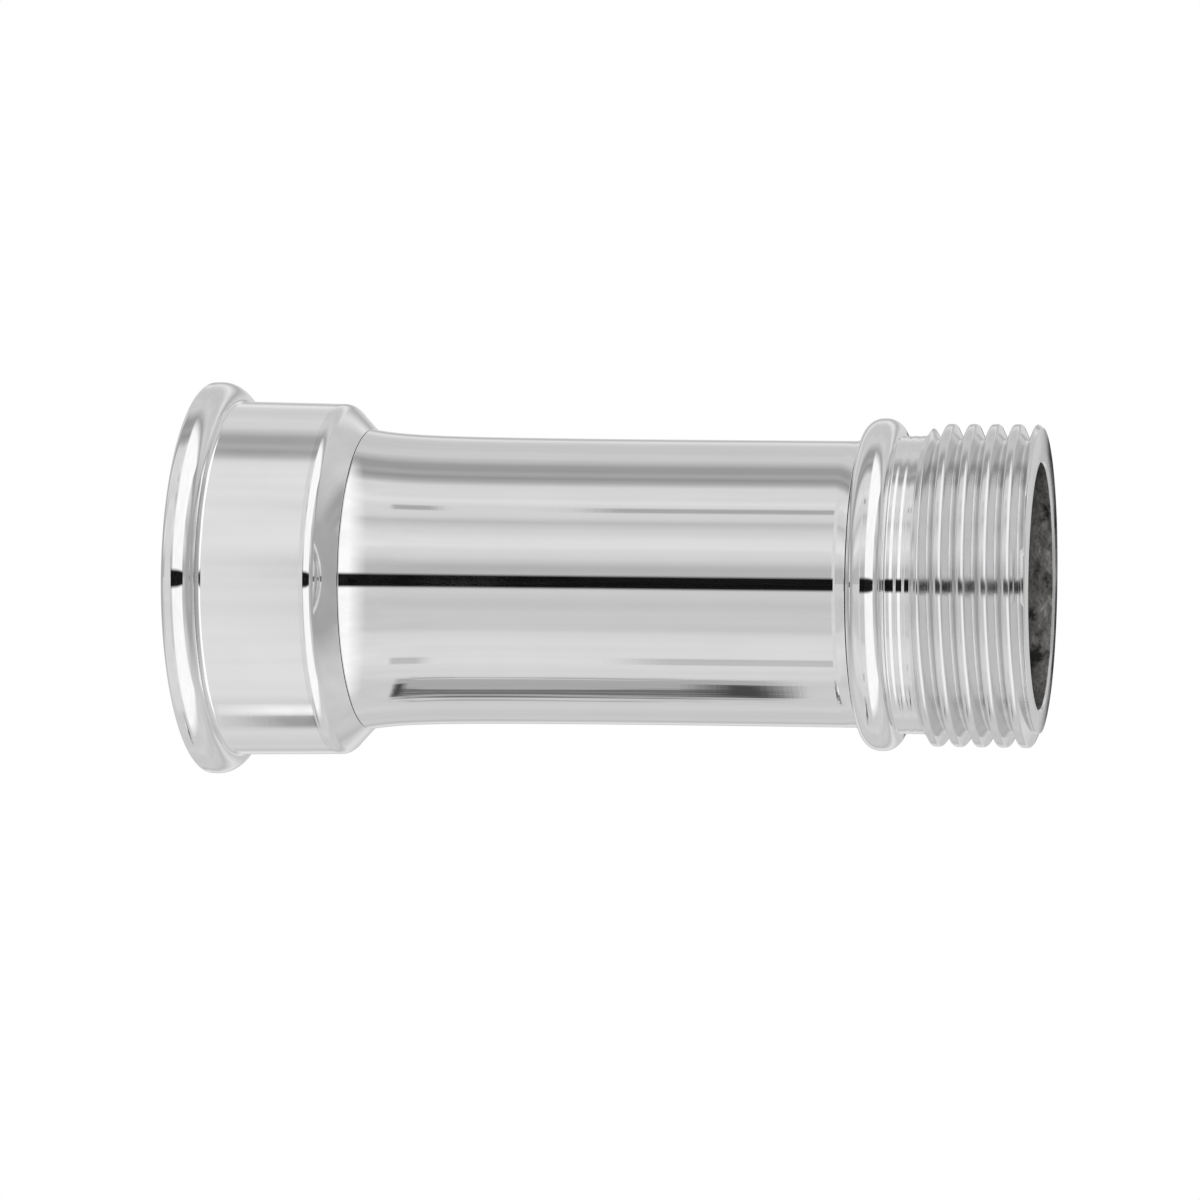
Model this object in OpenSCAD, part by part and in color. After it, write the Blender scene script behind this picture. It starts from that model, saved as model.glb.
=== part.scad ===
// Hose bib outlet coupling: a chromed brass tail with a swivel inlet nut, a male
// hose thread at the outlet and two spring-loaded check valves in the bore.
// The axis lies along X. Water enters at x = 0 and leaves towards +X.

/* [Pipe thread] */
// Major diameter of the parallel pipe thread at both ends
thread_d = 26.44; // [26.3:0.02:26.5]
// Turns of thread in each inch
thread_tpi = 14; // [14:1:16]

/* [Swivel nut] */
// Diameter of the rounded rim around the mouth
rim_d = 32.9; // [32.5:0.1:34.5]
// Diameter of the collar next to the rim
collar_d = 29.6; // [29.4:0.1:30.6]
// Diameter of the collar where its shoulder starts
collar_end_d = 29.3; // [29:0.1:29.4]
// Length of the nut from its mouth to its back face
nut_l = 13.8; // [13.8:0.1:14.3]

/* [Barrel] */
// Diameter of the barrel along its waist
waist_d = 23.52; // [23.3:0.02:23.6]
// Diameter of the barrel where it meets the nut
root_d = 25.1; // [24.6:0.05:25.2]
// Diameter of the barrel where it meets the bead
foot_d = 23.95; // [23.8:0.05:24.1]
// Bore of the barrel that holds the check valves
barrel_bore_d = 20; // [19.8:0.05:20.2]

/* [Outlet] */
// Overall length from the inlet mouth to the outlet face
overall_l = 69.9; // [69.8:0.1:74]
// Diameter of the ring bead in front of the outlet thread
bead_d = 27.3; // [27:0.1:29]
// Width of the ring bead
bead_w = 3.15; // [3.1:0.05:3.25]
// Diameter of the plain neck between bead and thread
neck_d = 24.5; // [24.4:0.1:24.9]
// Bore of the outlet mouth
outlet_bore_d = 20.2; // [19.6:0.1:20.6]
// Full crests on the outlet thread
outlet_crests = 5; // [4:1:5]

/* [Check valves] */
// Travel of each poppet from shut to fully open
poppet_travel = 3.2; // [2:0.1:3.2]
// Turns of each poppet spring
spring_turns = 5.5; // [4.5:0.5:5.5]
// Wire diameter of each poppet spring
spring_wire_d = 0.4; // [0.3:0.05:0.4]
// Wires across the inlet screen
screen_wires = 9; // [7:2:11]

/* [Hidden] */
$fn = 96;

CHROME = [0.80, 0.80, 0.81];
STEEL = [0.66, 0.66, 0.67];
RUBBER = [0.06, 0.06, 0.06];
ACETAL = [0.90, 0.90, 0.87];
POPPET_BLUE = [0.16, 0.32, 0.58];

// Whitworth form: 55 degrees between the flanks, cut flat at crest and root.
thread_pitch = 25.4 / thread_tpi;
thread_depth = 0.6403 * thread_pitch;
thread_major_r = thread_d / 2;
thread_minor_r = thread_major_r - thread_depth;
WHITWORTH_HALF = 27.5;

// Swivel nut
rim_r = rim_d / 2;
rim_front_round = 0.4;
rim_crown_x = 0.8;
rim_back_round = 1.8;
rim_foot_x = 2.9;
shoulder_round = 1;
shoulder_slope = 55;
shoulder_l = 2.4;
shoulder_drop = 2.1;
nut_hole_r = 11.8;
nut_lip_x = nut_l - 1.7;
nut_chamber_r = thread_major_r + 0.03;
mouth_r = thread_major_r + 0.43;
inlet_crest_x = 2.2;
inlet_crests = 4;

// Tail of the barrel, which the nut turns on
tail_r = 11.7;
nose_x = 10.45;
nose_hole_r = 8.6;
nose_lip_l = 1.65;
ring_groove_r = 11.1;
ring_groove_x = [10.95, 12];
root_x = nut_l + 0.15;
// Share and reach of the two flares that the barrel leaves its root with
root_flares = [[0.54, 2.6], [0.46, 13]];

// Washer and screen in the nut's mouth
washer_l = 1.8;
washer_r = 12.7;
washer_x = nose_x - washer_l;
screen_r = 9;
screen_t = 0.4;
screen_x = washer_x + 0.7;

// Joint between the barrel and the outlet nipple
joint_pitch = 1;
joint_depth = 0.57;
joint_major_r = 10.72;
joint_clearance = 0.05;
JOINT_HALF = 30;
spigot_x = 46.9;
spigot_hole_r = 9;
joint_crests = 6;
joint_thread_x = spigot_x + 0.6;
o_ring_seat_x = [53.5, 54.8];
o_ring_seat_r = 9.95;
barrel_mouth_r = 10.85;
bead_x = 55.45;
barrel_end_x = bead_x - 0.1;
foot_flare_l = 3.8;

// Outlet
neck_end_x = bead_x + bead_w + 1.95;
outlet_crest_x = neck_end_x + 1.0;
outlet_step_x = bead_x + 0.7;

// Check valve modules
module_l = 16;
upstream_x = nose_x + nose_lip_l;
spacer_l = 2.5;
spacer_x = upstream_x + module_l;
downstream_x = spacer_x + spacer_l;
bore_r = barrel_bore_d / 2;
cage_r = bore_r - 0.15;
chamber_r = 8.35;
seat_start = [2.6, 6.2];
seat_end = [5.0, chamber_r];
seal_gap = 0.06;
stem_r = 1.3;
stem_clearance = 0.06;
poppet_back = 5.2;
spring_seat = poppet_back + poppet_travel + (spring_turns + 1) * spring_wire_d + 0.25;
spring_r = 3.1;
guide_ring_x = [12.4, 14.95];

// Points of an arc about c in an [axial, radius] outline; angles run from +axial.
function arc(c, r, from, to, steps = 8) = [
    for (i = [0 : steps])
        let (a = from + (to - from) * i / steps)
        c + r * [cos(a), sin(a)]
];

function reversed(points) = [for (i = [len(points) - 1 : -1 : 0]) points[i]];

// Outline of ring crests at a pitch, from the first crest's rising flank to the last
// one's falling flank. base_r and crest_r are the radii between and on the crests.
function crest_points(first, count, pitch, base_r, crest_r, half_angle) = let (
    flank = abs(crest_r - base_r) * tan(half_angle),
    flat = (pitch - 2 * flank) / 4
) [
    for (k = [0 : count - 1])
        let (x = first + k * pitch)
        each [
            [x - flat - flank, base_r], [x - flat, crest_r],
            [x + flat, crest_r], [x + flat + flank, base_r],
        ]
];

// A solid of revolution about X from an [axial, radius] outline.
module turned(points, angle = 360) {
    rotate([0, 90, 0])
        rotate_extrude(angle = angle)
            polygon([for (p = points) [p[1], p[0]]]);
}

// A round bar along X.
module bar(x, l, r) {
    translate([x, 0, 0]) rotate([0, 90, 0]) cylinder(h = l, r = r);
}

// A rubber ring of round section about X.
module o_ring(x, mean_r, section_r) {
    color(RUBBER)
        translate([x, 0, 0])
            rotate([0, 90, 0])
                rotate_extrude()
                    translate([mean_r, 0]) circle(r = section_r, $fn = 32);
}

// Swivel nut: rounded rim, tapering collar and sloped shoulder, threaded inside.
module coupling_nut() {
    collar_r = collar_d / 2;
    collar_end_r = collar_end_d / 2;
    shoulder_x = nut_l - shoulder_l;
    outside = concat(
        arc([rim_front_round, rim_r - rim_front_round], rim_front_round, 180, 90),
        arc([rim_crown_x, rim_r - rim_back_round], rim_back_round, 90, 12, 10),
        [[rim_foot_x, collar_r]],
        arc([shoulder_x, collar_end_r - shoulder_round], shoulder_round, 90,
            90 - shoulder_slope, 6),
        [[nut_l, collar_end_r - shoulder_drop], [nut_l, nut_hole_r]]
    );
    inside = concat(
        [[0, mouth_r]],
        crest_points(inlet_crest_x, inlet_crests, thread_pitch, thread_major_r,
            thread_minor_r, WHITWORTH_HALF),
        [[nut_lip_x, nut_chamber_r], [nut_lip_x, nut_hole_r]]
    );
    color(CHROME) turned(concat(outside, reversed(inside)));
}

// Split ring that snaps into the tail's groove and keeps the nut on.
module retaining_ring() {
    x = ring_groove_x[0] + 0.05;
    l = ring_groove_x[1] - ring_groove_x[0] - 0.1;
    r_in = ring_groove_r + 0.05;
    r_out = 12.6;
    color(STEEL)
        turned([[x, r_in], [x + l, r_in], [x + l, r_out], [x, r_out]], 338);
}

// Rubber washer, grooved inside for the screen's rim.
module inlet_washer() {
    groove = screen_r + 0.05;
    color(RUBBER) turned([
        [washer_x, nose_hole_r], [screen_x - 0.05, nose_hole_r],
        [screen_x - 0.05, groove], [screen_x + screen_t + 0.05, groove],
        [screen_x + screen_t + 0.05, nose_hole_r], [nose_x, nose_hole_r],
        [nose_x, washer_r - 0.2], [nose_x - 0.2, washer_r],
        [washer_x + 0.2, washer_r], [washer_x, washer_r - 0.2],
    ]);
}

// Strainer: crossed wires in a pressed rim.
module inlet_screen() {
    rim_in = screen_r - 0.9;
    wire = 0.28;
    spacing = 2 * rim_in / (screen_wires + 1);
    color(STEEL)
        translate([screen_x, 0, 0])
            rotate([0, 90, 0])
                linear_extrude(height = screen_t) {
                    difference() {
                        circle(r = screen_r);
                        circle(r = rim_in);
                    }
                    for (turn = [0, 90], i = [1 : screen_wires])
                        let (y = -rim_in + i * spacing,
                             reach = sqrt(pow(rim_in, 2) - pow(y, 2)) + 0.3)
                        rotate(turn)
                            translate([-reach, y - wire / 2])
                                square([2 * reach, wire]);
                }
}

// Radius of the barrel's outside at a place along the axis.
function barrel_r(x) =
    let (
        waist_r = waist_d / 2,
        near = root_flares[0][0] * exp(-(x - root_x) / root_flares[0][1]),
        far = root_flares[1][0] * exp(-(x - root_x) / root_flares[1][1]),
        foot = pow(max(0, 1 - (barrel_end_x - x) / foot_flare_l), 2)
    )
    waist_r + (root_d / 2 - waist_r) * (near + far) + (foot_d / 2 - waist_r) * foot;

// Body tube: nose and ring groove inside the nut, then the waisted barrel.
module barrel() {
    steps = 30;
    outside = concat(
        [
            [nose_x, nose_hole_r], [nose_x, tail_r - 0.2], [nose_x + 0.2, tail_r],
            [ring_groove_x[0], tail_r], [ring_groove_x[0], ring_groove_r],
            [ring_groove_x[1], ring_groove_r], [ring_groove_x[1], tail_r],
            [root_x, tail_r],
        ],
        [
            for (i = [0 : steps])
                let (x = root_x + (barrel_end_x - root_x) * (1 - cos(180 * i / steps)) / 2)
                [x, barrel_r(x)]
        ]
    );
    inside = concat(
        [[upstream_x, nose_hole_r], [upstream_x, bore_r]],
        [
            [joint_thread_x - 0.8, bore_r],
            [joint_thread_x - 0.8, joint_major_r - joint_depth + joint_clearance],
        ],
        crest_points(joint_thread_x, joint_crests, joint_pitch,
            joint_major_r - joint_depth + joint_clearance,
            joint_major_r + joint_clearance, JOINT_HALF),
        [[o_ring_seat_x[0] - 0.3, barrel_mouth_r], [barrel_end_x, barrel_mouth_r]]
    );
    color(CHROME) turned(concat(outside, reversed(inside)));
}

// Outlet: screwed spigot, ring bead, neck, male pipe thread and open mouth.
module outlet_nipple() {
    bead_flat = 0.24;
    bead_r = (bead_w - bead_flat) / 2;
    bead_c = [bead_x + bead_r, bead_d / 2 - bead_r];
    neck_r = neck_d / 2;
    bore = outlet_bore_d / 2;
    outside = concat(
        [[spigot_x, joint_major_r - joint_depth]],
        crest_points(joint_thread_x, joint_crests, joint_pitch,
            joint_major_r - joint_depth, joint_major_r, JOINT_HALF),
        [
            [o_ring_seat_x[0], joint_major_r - joint_depth],
            [o_ring_seat_x[0], o_ring_seat_r], [o_ring_seat_x[1], o_ring_seat_r],
            [o_ring_seat_x[1], joint_major_r], [bead_x, joint_major_r],
        ],
        arc(bead_c, bead_r, 180, 90),
        arc(bead_c + [bead_flat, 0], bead_r, 90, asin((neck_r - bead_c[1]) / bead_r)),
        [[neck_end_x, neck_r]],
        crest_points(outlet_crest_x, outlet_crests, thread_pitch, thread_minor_r,
            thread_major_r, WHITWORTH_HALF),
        [[overall_l, thread_minor_r]]
    );
    inside = [
        [spigot_x, spigot_hole_r], [outlet_step_x, spigot_hole_r],
        [outlet_step_x + 1, bore], [overall_l - 0.15, bore], [overall_l, bore + 0.15],
    ];
    color(CHROME) turned(concat(outside, reversed(inside)));
}

module nipple_o_ring() {
    o_ring((o_ring_seat_x[0] + o_ring_seat_x[1]) / 2, 10.4, 0.43);
}

// Keeps the open upstream stem clear of the downstream cage.
module module_spacer() {
    color(ACETAL) turned([
        [spacer_x, 8.7], [spacer_x + 0.3, 8.4],
        [downstream_x - 0.3, 8.4], [downstream_x, 8.7],
        [downstream_x, cage_r - 0.3], [downstream_x - 0.3, cage_r],
        [spacer_x + 0.3, cage_r], [spacer_x, cage_r - 0.3],
    ]);
}

// Housing of one check valve: inlet, conical seat, chamber and snap lip.
module check_cage(x) {
    groove_r = bore_r - 1.25;
    color(ACETAL)
        translate([x, 0, 0])
            turned([
                [0, cage_r - 0.5], [0.5, cage_r],
                [2.2, cage_r], [2.2, groove_r], [3.8, groove_r],
                [3.8, cage_r], [module_l - 0.4, cage_r], [module_l, cage_r - 0.4],
                [module_l, 8.2], [module_l - 0.3, 7.9], [module_l - 1, 7.9],
                [module_l - 1, chamber_r], seat_end, seat_start,
                [0.8, seat_start[1]], [0, seat_start[1] + 0.8],
            ]);
}

// Poppet: domed head with a seal groove, and the stem that the guide holds.
module check_poppet(x) {
    color(POPPET_BLUE)
        translate([x, 0, 0])
            turned(concat(
                [[1.4, 0]],
                reversed(arc([3.0, 4.0], 1.6, 90, 180, 5)),
                [
                    [3.0, 4.6], [4.3, 4.6], [4.3, 6.6], [poppet_back, 6.6],
                    [poppet_back, 2.0], [5.9, stem_r],
                    [13.4, stem_r], [13.8, stem_r - 0.4], [13.8, 0],
                ]
            ));
}

// Rubber ring in the poppet's groove that closes on the cage's seat.
module check_seal(x) {
    slope = (seat_end[1] - seat_start[1]) / (seat_end[0] - seat_start[0]);
    front = 3.05;
    back = 4.25;
    color(RUBBER)
        translate([x, 0, 0])
            turned([
                [front, 4.65], [back, 4.65],
                [back, seat_start[1] + slope * (back - seat_start[0]) - seal_gap],
                [front, seat_start[1] + slope * (front - seat_start[0]) - seal_gap],
            ]);
}

// Centre of the wire after a share t of the coil, closer wound towards both ends.
function coil_x(t, l) = spring_wire_d / 2
    + (l - spring_wire_d) * (t - 0.45 * sin(360 * t) / (2 * PI));

// Compression spring from the poppet's back to the guide's seat.
module check_spring(x) {
    l = spring_seat - poppet_back - 0.04;
    sides = 8;
    steps = round(spring_turns * 20);
    points = [
        for (i = [0 : steps], j = [0 : sides - 1])
            let (t = i / steps,
                 turn = 360 * spring_turns * t,
                 side = 360 * j / sides,
                 r = spring_r + spring_wire_d / 2 * cos(side))
            [x + poppet_back + 0.02 + coil_x(t, l) + spring_wire_d / 2 * sin(side),
             r * cos(turn), r * sin(turn)]
    ];
    skin = [
        for (i = [0 : steps - 1], j = [0 : sides - 1])
            let (a = i * sides + j, b = i * sides + (j + 1) % sides)
            each [[a, b, b + sides], [a, b + sides, a + sides]]
    ];
    start_cap = [for (j = [sides - 1 : -1 : 0]) j];
    end_cap = [for (j = [0 : sides - 1]) steps * sides + j];
    color(STEEL) polyhedron(points, concat(skin, [start_cap, end_cap]), convexity = 10);
}

// Spider that guides the stem: hub with a spring seat, spokes and a snap-in ring.
module check_guide(x) {
    spokes = 4;
    hub_end = 14.4;
    hub_r = 2.4;
    ring_l = guide_ring_x[1] - guide_ring_x[0];
    ring_r = chamber_r - 0.05;
    color(ACETAL)
        translate([x, 0, 0])
            difference() {
                union() {
                    bar(spring_seat - 0.7, hub_end - spring_seat + 0.7, hub_r);
                    bar(spring_seat, 0.8, 3.9);
                    translate([guide_ring_x[0], 0, 0])
                        turned([[0, ring_r - 0.8], [ring_l, ring_r - 0.8],
                            [ring_l, ring_r], [0, ring_r]]);
                    for (i = [0 : spokes - 1])
                        rotate([45 + i * 360 / spokes, 0, 0])
                            translate([guide_ring_x[0], -0.6, hub_r - 0.4])
                                cube([1.8, 1.2, ring_r - hub_r]);
                }
                bar(spring_seat - 1, 6, stem_r + stem_clearance);
            }
}

module check_o_ring(x) {
    o_ring(x + 3.0, bore_r - 0.62, 0.6);
}

module upstream_cage() { check_cage(upstream_x); }
module upstream_o_ring() { check_o_ring(upstream_x); }
module upstream_poppet() { check_poppet(upstream_x); }
module upstream_seal() { check_seal(upstream_x); }
module upstream_spring() { check_spring(upstream_x); }
module upstream_guide() { check_guide(upstream_x); }
module downstream_cage() { check_cage(downstream_x); }
module downstream_o_ring() { check_o_ring(downstream_x); }
module downstream_poppet() { check_poppet(downstream_x); }
module downstream_seal() { check_seal(downstream_x); }
module downstream_spring() { check_spring(downstream_x); }
module downstream_guide() { check_guide(downstream_x); }

coupling_nut();
retaining_ring();
inlet_washer();
inlet_screen();
barrel();
outlet_nipple();
nipple_o_ring();
module_spacer();
upstream_cage();
upstream_o_ring();
upstream_poppet();
upstream_seal();
upstream_spring();
upstream_guide();
downstream_cage();
downstream_o_ring();
downstream_poppet();
downstream_seal();
downstream_spring();
downstream_guide();
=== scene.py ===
"""Looks of a chromed hose tap outlet fitting: turned chrome shells with true helical
threads, a rubber washer with a woven strainer, and two spring check valves inside.

Sizes in the classes are in millimetres along and out from the fitting's axis, which is X.
"""

import logging
import math
from collections.abc import Callable, Sequence
from dataclasses import dataclass, field, replace
from enum import IntEnum, StrEnum

import bmesh
import bpy
import numpy as np
from mathutils import Matrix, Vector


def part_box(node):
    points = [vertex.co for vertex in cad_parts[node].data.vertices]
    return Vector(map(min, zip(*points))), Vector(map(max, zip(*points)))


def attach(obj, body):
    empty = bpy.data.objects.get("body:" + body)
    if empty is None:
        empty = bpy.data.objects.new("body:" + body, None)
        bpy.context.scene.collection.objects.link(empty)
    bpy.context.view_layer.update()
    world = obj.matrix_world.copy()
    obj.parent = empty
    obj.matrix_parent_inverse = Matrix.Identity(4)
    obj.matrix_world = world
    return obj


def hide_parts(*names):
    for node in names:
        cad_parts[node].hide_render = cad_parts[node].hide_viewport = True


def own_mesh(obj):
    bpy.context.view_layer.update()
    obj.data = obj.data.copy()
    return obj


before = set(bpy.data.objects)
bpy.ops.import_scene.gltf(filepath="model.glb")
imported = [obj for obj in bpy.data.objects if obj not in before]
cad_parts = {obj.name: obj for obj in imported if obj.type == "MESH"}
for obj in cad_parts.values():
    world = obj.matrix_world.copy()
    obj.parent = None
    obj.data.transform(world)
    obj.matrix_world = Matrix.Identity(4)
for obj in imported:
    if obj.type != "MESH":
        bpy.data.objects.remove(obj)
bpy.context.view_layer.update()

MM = 0.001
log = logging.getLogger("fitting")

RadiusLaw = Callable[[np.ndarray, np.ndarray], np.ndarray]


# ---------------------------------------------------------------- outlines


@dataclass(frozen=True)
class Corner:
    """A point of a turned part's outline.

    The outline runs so that the metal is on its right: out of the mouth face, along the
    outside towards +X, and back along the inside.
    """

    x: float
    r: float
    round: float = 0.08
    skin: int = 0
    normal: tuple[float, float] | None = None
    smooth: bool = False


@dataclass(frozen=True)
class Ring:
    """One ring of a turned surface.

    Attributes:
        x: Its place along the axis.
        r: Its radius, unless a law gives it.
        nx: Its shading normal along the axis.
        nr: Its shading normal outwards.
        skin: Finish slot of the surface after it.
        law: The radius at every place and angle.
        probe_x: Where the law is read.
        drop: How far the ring lies below the law's radius.
        thread: The threaded stretch that this ring opens.
    """

    x: float
    r: float
    nx: float
    nr: float
    skin: int
    law: RadiusLaw | None = None
    probe_x: float = 0.0
    drop: float = 0.0
    thread: "Threaded | None" = None


@dataclass(frozen=True)
class Threaded:
    """A threaded stretch of an outline, whose rows of points follow the thread round.

    Attributes:
        x0: Where the stretch starts.
        x1: Where it ends.
        r0: Radius near its start, used for the corner before it.
        r1: Radius near its end, used for the corner after it.
        law: The radius at every place and angle.
        pitch: The thread's pitch.
        marks: Places of the rows within a pitch, rising, for an angle of 0.
        skin: Finish slot of the surface.
    """

    x0: float
    x1: float
    r0: float
    r1: float
    law: RadiusLaw
    pitch: float
    marks: tuple[float, ...]
    skin: int = 0


OutlineItem = Corner | Ring | Threaded


def bend(
    cx: float, cr: float, radius: float, start: float, end: float, steps: int, skin: int = 0
) -> list[Corner]:
    """Points of an arc with their exact normals.

    Args:
        cx: Axial place of the arc's centre.
        cr: Radial place of the arc's centre.
        radius: The arc's radius; negative for a hollow arc, whose normals point inwards.
        start: Angle of the first point in degrees, from +X towards outwards.
        end: Angle of the last point in degrees.
        steps: Number of steps along the arc.
        skin: Finish slot of the surface.

    Returns:
        The points in order.
    """
    side = 1 if radius > 0 else -1
    size = abs(radius)
    points = []
    for k in range(steps + 1):
        a = math.radians(start + (end - start) * k / steps)
        points.append(
            Corner(
                cx + size * math.cos(a),
                cr + size * math.sin(a),
                0,
                skin,
                (side * math.cos(a), side * math.sin(a)),
            )
        )
    return points


def corners(
    points: Sequence[tuple[float, ...]], skin: int = 0, shift: float = 0.0
) -> list[Corner]:
    """Corners of an outline, given as plain numbers.

    Args:
        points: Place, radius and, where it isn't the usual one, rounding of each corner.
        skin: Finish slot of the surface.
        shift: How far the places are moved along the axis.

    Returns:
        The corners in order.
    """
    return [Corner(x + shift, *rest, skin=skin) for x, *rest in points]


def band(x0: float, x1: float, inner: float, outer: float, rounding: float) -> list[Corner]:
    """Outline of a plain ring between two places and two radii."""
    square = ((x0, inner), (x0, outer), (x1, outer), (x1, inner))
    return corners([(*place, rounding) for place in square])


def left_of(a: Sequence[float], b: Sequence[float]) -> tuple[float, float]:
    """Unit vector on the left of the way from a to b, which points out of the metal."""
    dx, dr = b[0] - a[0], b[1] - a[1]
    length = math.hypot(dx, dr) or 1.0
    return -dr / length, dx / length


def rounded_corner(
    before: Sequence[float], corner: Corner, after: Sequence[float], steps: int
) -> list[Ring]:
    """Replaces a sharp corner with an arc tangent to both of its sides.

    Args:
        before: The outline's point before the corner.
        corner: The corner.
        after: The outline's point after the corner.
        steps: Number of steps along the arc.

    Returns:
        Rings along the arc.
    """
    here = (corner.x, corner.r)
    n0, n1 = left_of(before, here), left_of(here, after)
    turn = math.atan2(n0[0] * n1[1] - n0[1] * n1[0], n0[0] * n1[0] + n0[1] * n1[1])
    if abs(turn) < 1e-4:
        return [Ring(corner.x, corner.r, *n0, corner.skin)]
    room = 0.48 * min(math.dist(before, here), math.dist(here, after))
    size = min(corner.round, room / abs(math.tan(turn / 2)))
    reach = size * abs(math.tan(turn / 2))
    start = (here[0] - n0[1] * reach, here[1] + n0[0] * reach)
    hollow = turn > 0
    centre = (
        start[0] + (size if hollow else -size) * n0[0],
        start[1] + (size if hollow else -size) * n0[1],
    )
    first = math.atan2(n0[1], n0[0])
    rings = []
    for k in range(steps + 1):
        a = first + turn * k / steps
        nx, nr = math.cos(a), math.sin(a)
        away = -size if hollow else size
        rings.append(Ring(centre[0] + away * nx, centre[1] + away * nr, nx, nr, corner.skin))
    return rings


def trace(
    outline: Sequence[OutlineItem], closed: bool = True, corner_steps: int = 5
) -> list[Ring]:
    """Turns an outline into the rings of a turned surface.

    Args:
        outline: Corners, rings and threaded stretches in order.
        closed: Whether the last item joins the first.
        corner_steps: Steps along each rounded corner.

    Returns:
        The rings in order.
    """
    items = list(outline)
    count = len(items)

    def entry(item: OutlineItem) -> tuple[float, float]:
        """First point of an item."""
        return (item.x0, item.r0) if isinstance(item, Threaded) else (item.x, item.r)

    def leave(item: OutlineItem) -> tuple[float, float]:
        """Last point of an item."""
        return (item.x1, item.r1) if isinstance(item, Threaded) else (item.x, item.r)

    rings: list[Ring] = []
    for k, item in enumerate(items):
        before = leave(items[k - 1]) if closed or k else None
        after = entry(items[(k + 1) % count]) if closed or k < count - 1 else None
        if isinstance(item, Ring):
            rings.append(item)
        elif isinstance(item, Threaded):
            for x, opens in ((item.x0, item), (item.x1, None)):
                rings.append(Ring(x, 0, 0, 0, item.skin, item.law, x, 0, opens))
        elif item.normal is not None:
            rings.append(Ring(item.x, item.r, *item.normal, item.skin))
        elif before is None or after is None:
            side = -1 if before is None else 1
            rings.append(Ring(item.x, item.r, side, 0, item.skin))
        elif item.smooth:
            rings.append(Ring(item.x, item.r, *left_of(before, after), item.skin))
        else:
            rings.extend(rounded_corner(before, item, after, corner_steps))
    return rings


# ---------------------------------------------------------------- meshes


def mesh_object(
    name: str,
    points: np.ndarray,
    faces: list[tuple[int, ...]],
    normals: np.ndarray | None = None,
    skins: Sequence[int] | None = None,
) -> bpy.types.Object:
    """Makes an object from points in millimetres.

    Args:
        name: Name of the piece.
        points: Points, one row each.
        faces: Corner numbers of each face.
        normals: Shading normal at each point, or None for those of the faces.
        skins: Finish slot of each face, or None for the first.

    Returns:
        The new object, smooth shaded and in the scene.
    """
    mesh = bpy.data.meshes.new(name)
    mesh.from_pydata((points * MM).tolist(), [], faces)
    if skins is not None:
        mesh.polygons.foreach_set("material_index", np.asarray(skins, np.int32))
    mesh.shade_smooth()
    if normals is not None:
        mesh.normals_split_custom_set_from_vertices(normals.tolist())
    mesh.validate(clean_customdata=False)
    obj = bpy.data.objects.new(name, mesh)
    bpy.context.scene.collection.objects.link(obj)
    return obj


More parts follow.
